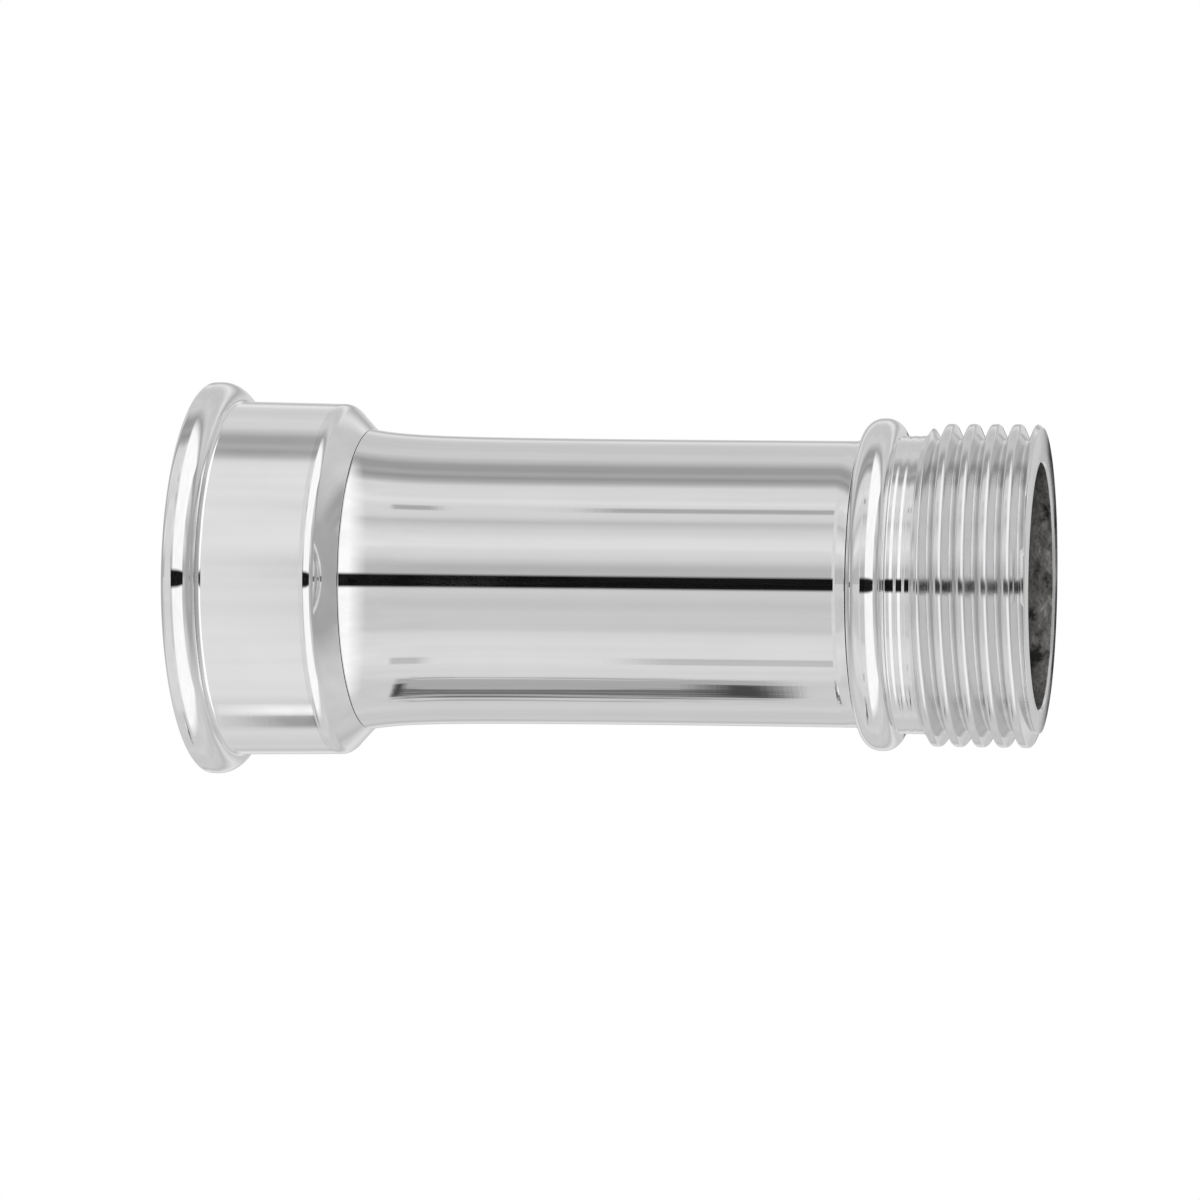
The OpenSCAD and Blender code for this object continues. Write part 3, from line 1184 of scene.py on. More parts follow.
@dataclass(frozen=True)
class ScrewJoint:
    """The fine thread between the barrel and the outlet nipple.

    Attributes:
        pitch: Distance between crests.
        core: Radius between the crests.
        height: Height of the crests.
        clearance: How much wider the barrel's side is.
        crest_flat: Width of each crest.
        flank: Angle of each flank from square, in degrees.
        edge: Rounding of its corners.
        fade: Length over which it fades at both ends.
        first_crest: Place of a crest at the bottom.
        start: Where the thread starts.
        end: Where it ends.
    """

    pitch: float = 1.0
    core: float = 10.15
    height: float = 0.57
    clearance: float = 0.05
    crest_flat: float = 0.17
    flank: float = 30.0
    edge: float = 0.05
    fade: float = 0.5
    first_crest: float = 47.5
    start: float = 47.0
    end: float = 53.2

    def cut(self, clearance: float, inwards: bool) -> Threaded:
        """The threaded stretch of one side of the joint.

        Args:
            clearance: How far it stands off from the nominal radius.
            inwards: True for the barrel's inside, which is traced towards -X.

        Returns:
            The stretch.
        """
        core = self.core + clearance
        helix = Helix(
            self.pitch,
            core,
            core + self.height,
            self.crest_flat,
            self.flank,
            self.first_crest,
            self.edge,
            self.edge,
            2,
        )

        def law(x: np.ndarray, angle: np.ndarray) -> np.ndarray:
            """Radius of the stretch."""
            fade = ramp(x, self.start, self.start + self.fade)
            fade = fade * (1 - ramp(x, self.end - self.fade, self.end))
            return core + self.height * helix.share(x, angle) * fade

        ends = (self.end, self.start) if inwards else (self.start, self.end)
        return Threaded(*ends, core, core, law, self.pitch, helix.marks(), Skin.BORED)


@dataclass
class Barrel:
    """Waisted body tube with its tail inside the nut.

    Attributes:
        nose: Place of the inlet end.
        nose_hole: Radius of the inlet hole.
        tail: Radius of the tail that the nut turns on.
        groove: Radius at the bottom of the split ring's groove.
        groove_start: Where the groove starts.
        groove_end: Where it ends.
        root_x: Where the visible outside starts, at the nut.
        near_rise: Swelling at the root that fades quickly.
        near_reach: Length over which it fades.
        far_rise: Swelling at the root that fades slowly.
        far_reach: Length over which it fades.
        waist: Radius of the plain middle.
        foot: Radius at the bead.
        foot_flare: Length of the flare towards the bead.
        end: Place of the outlet end.
        bore: Radius of the bore that holds the valves.
        bore_start: Where the bore starts.
        seat: Radius of the seat for the nipple's land.
        seam: Gap between the root and the first ring of the outside.
        steps: Rings along the outside.
        joint: The thread that holds the nipple.
    """

    nose: float = 10.45
    nose_hole: float = 8.6
    tail: float = 11.7
    groove: float = 11.1
    groove_start: float = 10.95
    groove_end: float = 12.0
    root_x: float = 13.84
    near_rise: float = 0.42
    near_reach: float = 2.6
    far_rise: float = 0.36
    far_reach: float = 13.0
    waist: float = 11.76
    foot: float = 11.93
    foot_flare: float = 0.55
    end: float = 55.35
    bore: float = 10.0
    bore_start: float = 12.1
    seat: float = 10.85
    seam: float = 0.03
    steps: int = 96
    joint: ScrewJoint = field(default_factory=ScrewJoint)

    def profile(self, x: float) -> float:
        """Radius of the barrel's outside at a place along the axis."""
        along = x - self.root_x
        near = self.near_rise * math.exp(-along / self.near_reach)
        far = self.far_rise * math.exp(-along / self.far_reach)
        foot = max(0.0, 1 - (self.end - x) / self.foot_flare) ** 2
        return self.waist + near + far + (self.foot - self.waist) * foot

    def skin_line(self) -> list[Corner]:
        """The barrel's visible outside, from its root to its foot."""
        line = []
        start = self.root_x + self.seam
        for k in range(self.steps + 1):
            x = start + (self.end - self.root_x - self.seam) * (k / self.steps) ** 1.4
            line.append(Corner(x, self.profile(x), 0, smooth=True))
        return [*line[:-1], replace(line[-1], smooth=False, round=0.06)]

    def outline(self) -> list[OutlineItem]:
        """The barrel's outline, from its nose round to its bore."""
        female = self.joint.cut(self.joint.clearance, inwards=True)
        tail = [
            (self.nose, self.nose_hole, 0.2),
            (self.nose, self.tail, 0.3),
            (self.groove_start, self.tail, 0.05),
            (self.groove_start, self.groove, 0.08),
            (self.groove_end, self.groove, 0.08),
            (self.groove_end, self.tail, 0.05),
        ]
        socket = [
            (self.end, self.seat, 0.1),
            (self.joint.end + 0.3, self.seat, 0.1),
            (self.joint.end + 0.05, female.r0, 0.1),
        ]
        bore = [
            (self.joint.start - 0.3, female.r0, 0.05),
            (self.joint.start - 0.3, self.bore, 0.05),
            (self.bore_start, self.bore, 0.1),
            (self.bore_start, self.nose_hole, 0.2),
        ]
        return [
            *corners(tail, Skin.BORED),
            Corner(self.root_x, self.tail, 0.1),
            Corner(self.root_x, self.profile(self.root_x) - 0.04, 0),
            *self.skin_line(),
            *corners(socket, Skin.BORED),
            female,
            *corners(bore, Skin.BORED),
        ]

    def build(self) -> bpy.types.Object:
        """Makes the barrel."""
        obj = Lathe(240, corner_steps=4).spin("barrel_tube", self.outline())
        return dress(obj, [BARREL_POLISH, *SHELL[1:]], Body.BARREL, ["barrel"])


@dataclass
class OutletNipple:
    """Ring bead, neck and male hose thread, screwed into the barrel.

    Attributes:
        spigot: Place of the inner end.
        hole: Radius of the hole through the spigot.
        bead_x: Where the bead starts, at the barrel.
        bead_width: Its width.
        bead: Its radius.
        bead_round: Rounding of its two flanks.
        bead_crown: Half the distance between their centres.
        neck: Radius of the neck.
        ripple: Depth of its turning marks.
        ripple_pitch: Least distance between them.
        neck_end: Where the thread starts.
        runout: Length over which the thread rises.
        first_crest: Place of a crest at the bottom.
        crest_flat: Width of each crest.
        crest_round: Rounding of the crests.
        root_round: Rounding between them.
        flank: Angle of each flank from square, in degrees.
        end: Place of the end face.
        end_crest: Radius of the end face's edge.
        end_chamfer: Length over which the crests fall to it.
        mouth_chamfer: Size of the chamfer round the mouth.
        edge: Rounding of the end face's edge.
        bore: Radius of the mouth.
        bore_step: Where the mouth narrows to the hole.
        ring_start: Where the o-ring's groove starts.
        ring_end: Where it ends.
        ring_seat: Radius at its bottom.
        land: Radius of the plain part beside it.
        thread: The outlet thread's sizes.
        joint: The thread that holds the nipple in the barrel.
    """

    spigot: float = 46.9
    hole: float = 9.0
    bead_x: float = 55.43
    bead_width: float = 3.17
    bead: float = 13.65
    bead_round: float = 1.42
    bead_crown: float = 0.12
    neck: float = 12.23
    ripple: float = 0.032
    ripple_pitch: float = 0.62
    neck_end: float = 60.55
    runout: float = 0.75
    first_crest: float = 61.56
    crest_flat: float = 0.62
    crest_round: float = 0.28
    root_round: float = 0.06
    flank: float = 24.0
    end: float = 69.9
    end_crest: float = 12.9
    end_chamfer: float = 0.35
    mouth_chamfer: float = 0.15
    edge: float = 0.1
    bore: float = 10.1
    bore_step: float = 56.15
    ring_start: float = 53.5
    ring_end: float = 54.8
    ring_seat: float = 9.95
    land: float = 10.72
    thread: PipeThread = field(default_factory=PipeThread)
    joint: ScrewJoint = field(default_factory=ScrewJoint)

    def male(self) -> Threaded:
        """The outlet thread, with its runout and its chamfered end."""
        t = self.thread
        helix = Helix(
            t.pitch,
            t.minor,
            t.major,
            self.crest_flat,
            self.flank,
            self.first_crest,
            self.crest_round,
            self.root_round,
            4,
        )
        fall = (t.major - self.end_crest) / self.end_chamfer

        def law(x: np.ndarray, angle: np.ndarray) -> np.ndarray:
            """Radius of the outlet thread."""
            run = ramp(x, self.neck_end, self.neck_end + self.runout)
            low = self.neck + (t.minor - self.neck) * run
            high = self.neck + (t.major - self.neck) * run
            body = low + (high - low) * helix.share(x, angle)
            return np.minimum(body, self.end_crest + fall * (self.end - x))

        return Threaded(
            self.neck_end,
            self.end - self.edge,
            self.neck,
            self.end_crest,
            law,
            t.pitch,
            helix.marks(),
            Skin.THREAD,
        )

    def lip(self, law: RadiusLaw) -> list[Ring]:
        """The rounded edge of the end face, which follows the thread's end round."""
        rings = []
        start = self.end - self.edge
        for a in (0.5, 1.0, 1.5):
            x = self.end - self.edge * (1 - math.sin(a))
            drop = self.edge * (1 - math.cos(a))
            normal = (math.sin(a), math.cos(a))
            rings.append(Ring(x, self.end_crest, *normal, Skin.THREAD, law, start, drop))
        return rings

    def turned_neck(self, start: float) -> list[Corner]:
        """The neck's fine turning marks, from a place along the axis to the thread."""
        reach = self.neck_end - 0.3 - start
        count = 8 * int(reach / self.ripple_pitch)
        line = []
        for k in range(count + 1):
            phase = 2 * math.pi * k / 8
            r = self.neck - self.ripple * (1 - math.cos(phase)) / 2
            line.append(Corner(start + reach * k / count, r, 0, smooth=True))
        return line

    def outline(self) -> list[OutlineItem]:
        """The nipple's outline, from its spigot round to its bore."""
        male_joint = self.joint.cut(0, inwards=False)
        middle = self.bead_x + self.bead_width / 2
        high = self.bead - self.bead_round
        sink = math.degrees(math.asin((self.neck - high) / self.bead_round))
        left = bend(middle - self.bead_crown, high, self.bead_round, 178, 91, 22)
        right = bend(middle + self.bead_crown, high, self.bead_round, 89, sink + 8, 20)
        neck_x = middle + self.bead_crown + self.bead_round * math.cos(math.radians(sink))
        neck_x += 0.05
        male = self.male()
        spigot = [(self.spigot, self.hole, 0.15), (self.spigot, male_joint.r0, 0.05)]
        ring_groove = [
            (self.ring_start, male_joint.r0, 0.05),
            (self.ring_start, self.ring_seat, 0.05),
            (self.ring_end, self.ring_seat, 0.05),
            (self.ring_end, self.land, 0.05),
        ]
        bore = [
            (self.end - self.mouth_chamfer, self.bore, 0.05),
            (self.bore_step + 1.0, self.bore, 0.2),
            (self.bore_step, self.hole, 0.2),
        ]
        return [
            *corners(spigot, Skin.BORED),
            male_joint,
            *corners(ring_groove, Skin.BORED),
            Corner(self.bead_x, self.land, 0.05),
            *left,
            *right,
            Corner(neck_x, self.neck, 0.25),
            *self.turned_neck(neck_x + 0.3),
            Corner(self.neck_end - 0.2, self.neck, 0, smooth=True),
            male,
            *self.lip(male.law),
            Corner(self.end, self.bore + self.mouth_chamfer, 0.05, Skin.THREAD),
            *corners(bore, Skin.BORED),
        ]

    def build(self) -> bpy.types.Object:
        """Makes the nipple."""
        obj = Lathe(240, corner_steps=4).spin("thread_nipple", self.outline())
        return dress(obj, SHELL, Body.BARREL, ["outlet_nipple"])


# ---------------------------------------------------------------- swivel and inlet seal


@dataclass
class SealRing:
    """An o-ring.

    Attributes:
        name: Name of the piece.
        node: CAD node that it stands for.
        x: Place of its middle.
        mean: Radius to the middle of its section.
        section: Radius of its section.
    """

    name: str
    node: str
    x: float
    mean: float
    section: float

    def build(self) -> bpy.types.Object:
        """Makes the ring."""
        line = bend(self.x, self.mean, self.section, 180, -165, 23)
        obj = Lathe(144).spin(self.name, line)
        return dress(obj, [BLACK_RUBBER], Body.BARREL, [self.node])


@dataclass
class Swivel:
    """The split ring that holds the nut on the barrel's tail.

    Attributes:
        x0: Where it starts.
        x1: Where it ends.
        inner: Its inner radius.
        outer: Its outer radius.
        gap: Angle of its opening, in degrees.
        round: Rounding of its section.
        steps: Steps round it.
    """

    x0: float = 11.0
    x1: float = 11.95
    inner: float = 11.15
    outer: float = 12.6
    gap: float = 22.0
    round: float = 0.16
    steps: int = 150

    def build(self) -> bpy.types.Object:
        """Makes the split ring, open at the top and capped at both ends."""
        line = band(self.x0, self.x1, self.inner, self.outer, self.round)
        section = trace(line, corner_steps=4)
        steps, count = self.steps, len(section)
        start = math.radians(90 + self.gap / 2)
        span = math.radians(360 - self.gap)
        points, normals = [], []
        for i in range(steps + 1):
            a = start + span * i / steps
            c, s = math.cos(a), math.sin(a)
            points += [(g.x, g.r * c, g.r * s) for g in section]
            normals += [(g.nx, g.nr * c, g.nr * s) for g in section]
        faces = [
            (i * count + j, (i + 1) * count + j, (i + 1) * count + k, i * count + k)
            for i in range(steps)
            for j in range(count)
            for k in [(j + 1) % count]
        ]
        cap = len(points)
        faces.append(tuple(range(cap, cap + count)))
        faces.append(tuple(range(cap + 2 * count - 1, cap + count - 1, -1)))
        a0, a1 = start, start + span
        ends = points[:count] + points[-count:]
        normals += [(0, math.sin(a0), -math.cos(a0))] * count
        normals += [(0, -math.sin(a1), math.cos(a1))] * count
        obj = mesh_object("split_ring", np.array(points + ends), faces, np.array(normals))
        weld(obj)
        return dress(obj, [WIRE_STEEL], Body.BARREL, ["retaining_ring"])


def weld(obj: bpy.types.Object) -> None:
    """Joins points that coincide, and shades by face angle."""
    sheet = bmesh.new()
    sheet.from_mesh(obj.data)
    bmesh.ops.remove_doubles(sheet, verts=sheet.verts, dist=1e-7)
    bmesh.ops.recalc_face_normals(sheet, faces=sheet.faces)
    sheet.to_mesh(obj.data)
    sheet.free()
    if "custom_normal" in obj.data.attributes:
        obj.data.attributes.remove(obj.data.attributes["custom_normal"])
    sharpen(obj)


@dataclass
class InletSeal:
    """Rubber washer with sealing ridges and a woven strainer in its groove.

    Attributes:
        x0: Where the washer starts, at its ridges.
        x1: Where it ends.
        hole: Radius of its hole.
        outer: Its outer radius.
        groove: Radius at the bottom of the strainer's groove.
        groove_x: Where the groove starts and ends.
        ridges: Radii of the sealing ridges.
        ridge: Their height.
        ridge_foot: Half of a ridge's width at its foot.
        ridge_top: Half of its width at its top.
        rim_x: Where the strainer's rim starts and ends.
        rim_inner: The rim's inner radius.
        rim_outer: Its outer radius.
        wire: Radius of the wires.
        wire_pitch: Distance between wires.
    """

    x0: float = 8.65
    x1: float = 10.45
    hole: float = 8.6
    outer: float = 12.7
    groove: float = 9.05
    groove_x: tuple[float, float] = (9.32, 9.78)
    ridges: tuple[float, ...] = (10.1, 11.3)
    ridge: float = 0.14
    ridge_foot: float = 0.3
    ridge_top: float = 0.06
    rim_x: tuple[float, float] = (9.35, 9.75)
    rim_inner: float = 8.1
    rim_outer: float = 9.0
    wire: float = 0.11
    wire_pitch: float = 0.9

    def washer(self) -> bpy.types.Object:
        """Makes the washer."""
        face = self.x0 + self.ridge
        line = [
            (self.x1, self.hole, 0.12),
            (self.groove_x[1], self.hole, 0.06),
            (self.groove_x[1], self.groove, 0.06),
            (self.groove_x[0], self.groove, 0.06),
            (self.groove_x[0], self.hole, 0.06),
            (face, self.hole, 0.2),
        ]
        for r in self.ridges:
            line += [
                (face, r - self.ridge_foot, 0.1),
                (self.x0, r - self.ridge_top, 0.12),
                (self.x0, r + self.ridge_top, 0.12),
                (face, r + self.ridge_foot, 0.1),
            ]
        line += [(face, self.outer, 0.3), (self.x1, self.outer, 0.3)]
        obj = Lathe(160, corner_steps=4).spin("ridged_washer", corners(line))
        return dress(obj, [BLACK_RUBBER], Body.BARREL, ["inlet_washer"])

    def strainer(self) -> bpy.types.Object:
        """Makes the strainer: wires woven over and under, in a pressed rim."""
        middle = sum(self.rim_x) / 2
        count = int((self.rim_inner + 0.3) / self.wire_pitch)
        reach = self.rim_inner + 0.25
        parts = []
        for k in range(-count, count + 1):
            off = k * self.wire_pitch
            half = math.sqrt(reach**2 - off**2)
            along = np.linspace(-half, half, 2 * int(half / self.wire_pitch * 4) + 1)
            wave = self.wire * np.cos(math.pi * along / self.wire_pitch) * (-1) ** k
            flat = np.full(len(along), off)
            for weft in (False, True):
                lift = middle + (wave if weft else -wave)
                sides = (flat, along) if weft else (along, flat)
                parts.append(sweep(np.stack([lift, *sides], axis=-1), self.wire, 6))
        wires = gathered("strainer_wires", parts)
        rim_line = band(*self.rim_x, self.rim_inner, self.rim_outer, 0.12)
        rim = Lathe(144, corner_steps=4).spin("strainer_rim", rim_line)
        dress(rim, [WIRE_STEEL], Body.BARREL, ["inlet_screen"])
        return dress(wires, [WIRE_STEEL], Body.BARREL, ["inlet_screen"])


# ---------------------------------------------------------------- check valves


class Side(StrEnum):
    """The two check valves, as their CAD nodes are named."""

    UPSTREAM = "upstream"
    DOWNSTREAM = "downstream"


@dataclass
class CheckValve:
    """One spring check cartridge: cage, seals, poppet, spring and guide.

    Attributes:
        side: Which one it is.
        x: Where the cartridge starts. Its other places count from there.
        length: The cage's length.
        outer: The cage's outer radius.
        gland: Where the o-ring's groove starts and ends.
        gland_r: Radius at the bottom of that groove.
        inner: Radius of the chamber.
        seat_x: Where the conical seat starts and ends.
        seat_r: The seat's smallest radius.
        seal_x: Where the poppet's seal starts and ends.
        stem: Radius of the poppet's stem.
        travel: How far the poppet slides; not used.
        spring_x: Where the spring starts and ends.
        spring_mean: Radius to the middle of its wire.
        spring_wire: Radius of its wire.
        spring_turns: Number of turns.
    """

    side: Side
    x: float
    length: float = 16.0
    outer: float = 9.85
    gland: tuple[float, float] = (2.2, 3.8)
    gland_r: float = 8.75
    inner: float = 8.35
    seat_x: tuple[float, float] = (2.6, 5.0)
    seat_r: float = 6.2
    seal_x: tuple[float, float] = (3.05, 4.25)
    stem: float = 1.3
    travel: float = 3.2
    spring_x: tuple[float, float] = (5.22, 11.23)
    spring_mean: float = 3.1
    spring_wire: float = 0.2
    spring_turns: float = 5.5

    @property
    def poppet_body(self) -> Body:
        """Body of the moving pieces."""
        return Body[self.side.name]

    def turned(
        self,
        name: str,
        line: Sequence[tuple[float, ...]],
        closed: bool = True,
        segments: int = 144,
    ) -> bpy.types.Object:
        """Spins an outline whose places count from the cartridge's start."""
        return Lathe(segments, closed, 4).spin(
            f"{self.side}_{name}", corners(line, shift=self.x)
        )

    def cage(self) -> bpy.types.Object:
        """Makes the cage, with its o-ring gland and its conical seat."""
        line = [
            (0, self.outer - 0.5, 0.15),
            (0.5, self.outer, 0.15),
            (self.gland[0], self.outer, 0.08),
            (self.gland[0], self.gland_r, 0.1),
            (self.gland[1], self.gland_r, 0.1),
            (self.gland[1], self.outer, 0.08),
            (self.length - 0.4, self.outer, 0.12),
            (self.length, self.outer - 0.4, 0.12),
            (self.length, 8.2, 0.1),
            (self.length - 0.3, 7.9, 0.1),
            (15.0, 7.9, 0.1),
            (15.0, self.inner, 0.08),
            (self.seat_x[1], self.inner, 0.3),
            (self.seat_x[0], self.seat_r, 0.3),
            (0.8, self.seat_r, 0.3),
            (0, 7.0, 0.2),
        ]
        obj = self.turned("cage_shell", line)
        return dress(obj, [WHITE_ACETAL], Body.BARREL, [f"{self.side}_cage"])

    def poppet(self) -> bpy.types.Object:
        """Makes the poppet, with its dished nose, seal groove and stem."""
        nose, groove, flange, tip = 1.4, 3.0, 4.3, 13.8
        front = [(nose + 0.22, 0), (nose + 0.22, 2.3, 0.5), (nose, 3.1, 0.4)]
        back = [
            (groove, 4.6, 0.05),
            (flange, 4.6, 0.05),
            (flange, 6.6, 0.12),
            (flange + 0.9, 6.6, 0.15),
            (flange + 0.9, 2.0, 0.15),
            (flange + 1.6, self.stem, 0.3),
            (tip - 0.4, self.stem, 0.15),
            (tip, 0.9, 0.15),
            (tip, 0),
        ]
        line = [
            *corners(front, shift=self.x),
            *bend(self.x + groove, 4.0, 1.6, 178, 90, 14),
            *corners(back, shift=self.x),
        ]
        obj = Lathe(128, False, 4).spin(f"{self.side}_poppet_head", line)
        return dress(obj, [BLUE_ACETAL], self.poppet_body, [f"{self.side}_poppet"])

    def seal(self) -> bpy.types.Object:
        """Makes the rubber seal, whose edge lies along the seat."""
        x0, x1 = self.seal_x
        slope = (self.inner - self.seat_r) / (self.seat_x[1] - self.seat_x[0])
        rims = [self.seat_r - 0.06 + slope * (x - self.seat_x[0]) for x in (x0, x1)]
        hole = 4.65
        line = [(x0, hole, 0.08), (x0, rims[0], 0.15), (x1, rims[1], 0.15), (x1, hole, 0.08)]
        obj = self.turned("seal_ring", line)
        return dress(obj, [BLACK_RUBBER], self.poppet_body, [f"{self.side}_seal"])

    def spring(self) -> bpy.types.Object:
        """Makes the coil, closed at both ends."""
        x0, x1 = (self.x + s for s in self.spring_x)
        t = np.linspace(0, 1, int(self.spring_turns * 40) + 1)
        ease = t - 0.75 * np.sin(2 * math.pi * t) / (2 * math.pi)
        angle = 2 * math.pi * self.spring_turns * t
        wire = self.spring_wire
        path = np.stack(
            [
                x0 + wire + (x1 - x0 - 2 * wire) * ease,
                self.spring_mean * np.cos(angle),
                self.spring_mean * np.sin(angle),
            ],
            axis=-1,
        )
        points, faces, _ = sweep(path, wire, 12)
        obj = mesh_object(f"{self.side}_coil", points, faces)
        sharpen(obj, 60)
        dress(obj, [WIRE_STEEL], Body.BARREL, [f"{self.side}_spring"])
        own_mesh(obj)
        return obj

    def spoke(self, turn: float, mean: float, reach: float) -> bpy.types.Object:
        """One spoke of the guide, rounded along its front edges.

        Args:
            turn: Its angle in degrees.
            mean: Radius of its middle.
            reach: Its length.

        Returns:
            The new object.
        """
        half, round_by = 0.6, 0.22
        x0, x1 = self.x + 12.4, self.x + 14.2
        edge = [(x1, -half), (x0 + round_by, -half)]
        edge += [
            (x0 + round_by * (1 - math.sin(a)), side * (half - round_by * (1 - math.cos(a))))
            for side, order in ((-1, (0.5, 1.1)), (1, (1.1, 0.5)))
            for a in order
        ]
        edge += [(x0 + round_by, half), (x1, half)]
        c, s = math.cos(math.radians(turn)), math.sin(math.radians(turn))
        points, count = [], len(edge)
        for r in (mean - reach / 2, mean + reach / 2):
            points += [(x, r * c - w * s, r * s + w * c) for x, w in edge]
        faces = [(j, (j + 1) % count, count + (j + 1) % count, count + j) for j in range(count)]
        faces += [tuple(range(count))[::-1], tuple(range(count, 2 * count))]
        obj = mesh_object(f"spoke_{turn:.0f}", np.array(points), faces)
        weld(obj)
        return obj

    def guide(self) -> bpy.types.Object:
        """Makes the guide: hub with spring flange, four spokes and the ring."""
        inner, outer, hole, boss, flange = 7.5, 8.3, 1.36, 2.4, 3.9
        ring_line = [
            (12.4, inner, 0.15),
            (12.4, outer, 0.1),
            (14.95, outer, 0.1),
            (14.95, inner, 0.25),
        ]
        hub_line = [
            (10.55, hole, 0.08),
            (10.55, boss, 0.25),
            (11.25, boss, 0.1),
            (11.25, flange, 0.12),
            (12.05, flange, 0.12),
            (12.05, boss, 0.1),
            (14.4, boss, 0.3),
            (14.4, hole, 0.08),
        ]
        ring = self.turned("guide_ring", ring_line)
        hub = self.turned("guide_hub", hub_line, segments=96)
        spokes = [self.spoke(45 + 90 * k, 4.85, 5.6) for k in range(4)]
        obj = merged(f"{self.side}_guide_spider", [ring, hub, *spokes])
        return dress(obj, [WHITE_ACETAL], Body.BARREL, [f"{self.side}_guide"])

    def build(self) -> None:
        """Makes the whole cartridge."""
        self.cage()
        middle = self.x + sum(self.gland) / 2
        SealRing(f"{self.side}_gland_ring", f"{self.side}_o_ring", middle, 9.38, 0.6).build()
        self.poppet()
        self.seal()
        self.spring()
        self.guide()


@dataclass
class Spacer:
    """The plain ring between the two cartridges."""

    x0: float = 28.1
    x1: float = 30.6
    inner: float = 8.4
    outer: float = 9.85

    def build(self) -> bpy.types.Object:
        """Makes the spacer."""
        line = band(self.x0, self.x1, self.inner, self.outer, 0.25)
        obj = Lathe(144).spin("spacer_sleeve", line)
        return dress(obj, [WHITE_ACETAL], Body.BARREL, ["module_spacer"])


# ---------------------------------------------------------------- studio


def grey(value: float) -> tuple[float, float, float]:
    """Linear colour of a grey given on the usual 0 to 255 scale of pictures."""
    c = value / 255
    lin = c / 12.92 if c <= 0.04045 else ((c + 0.055) / 1.055) ** 2.4
    return (lin, lin, lin)


@dataclass(frozen=True)
class Card:
    """A card in the studio that the chrome mirrors.

    Attributes:
        turn: Its lowest and highest angle about the fitting's axis, in degrees, from the
            front (0) up over the top (90) to the back (180).
        lean: Its range along the axis, as distance along it over distance from it.
        tone: Its brightness on the 0 to 255 scale.
        soft_turn: Softness of its long edges, in degrees.
        soft_lean: Softness of its short edges.
        ragged: How far its long edges wander, in degrees.
    """

    turn: tuple[float, float]
    lean: tuple[float, float]
    tone: float
    soft_turn: float = 1.2
    soft_lean: float = 0.006
    ragged: float = 0.0


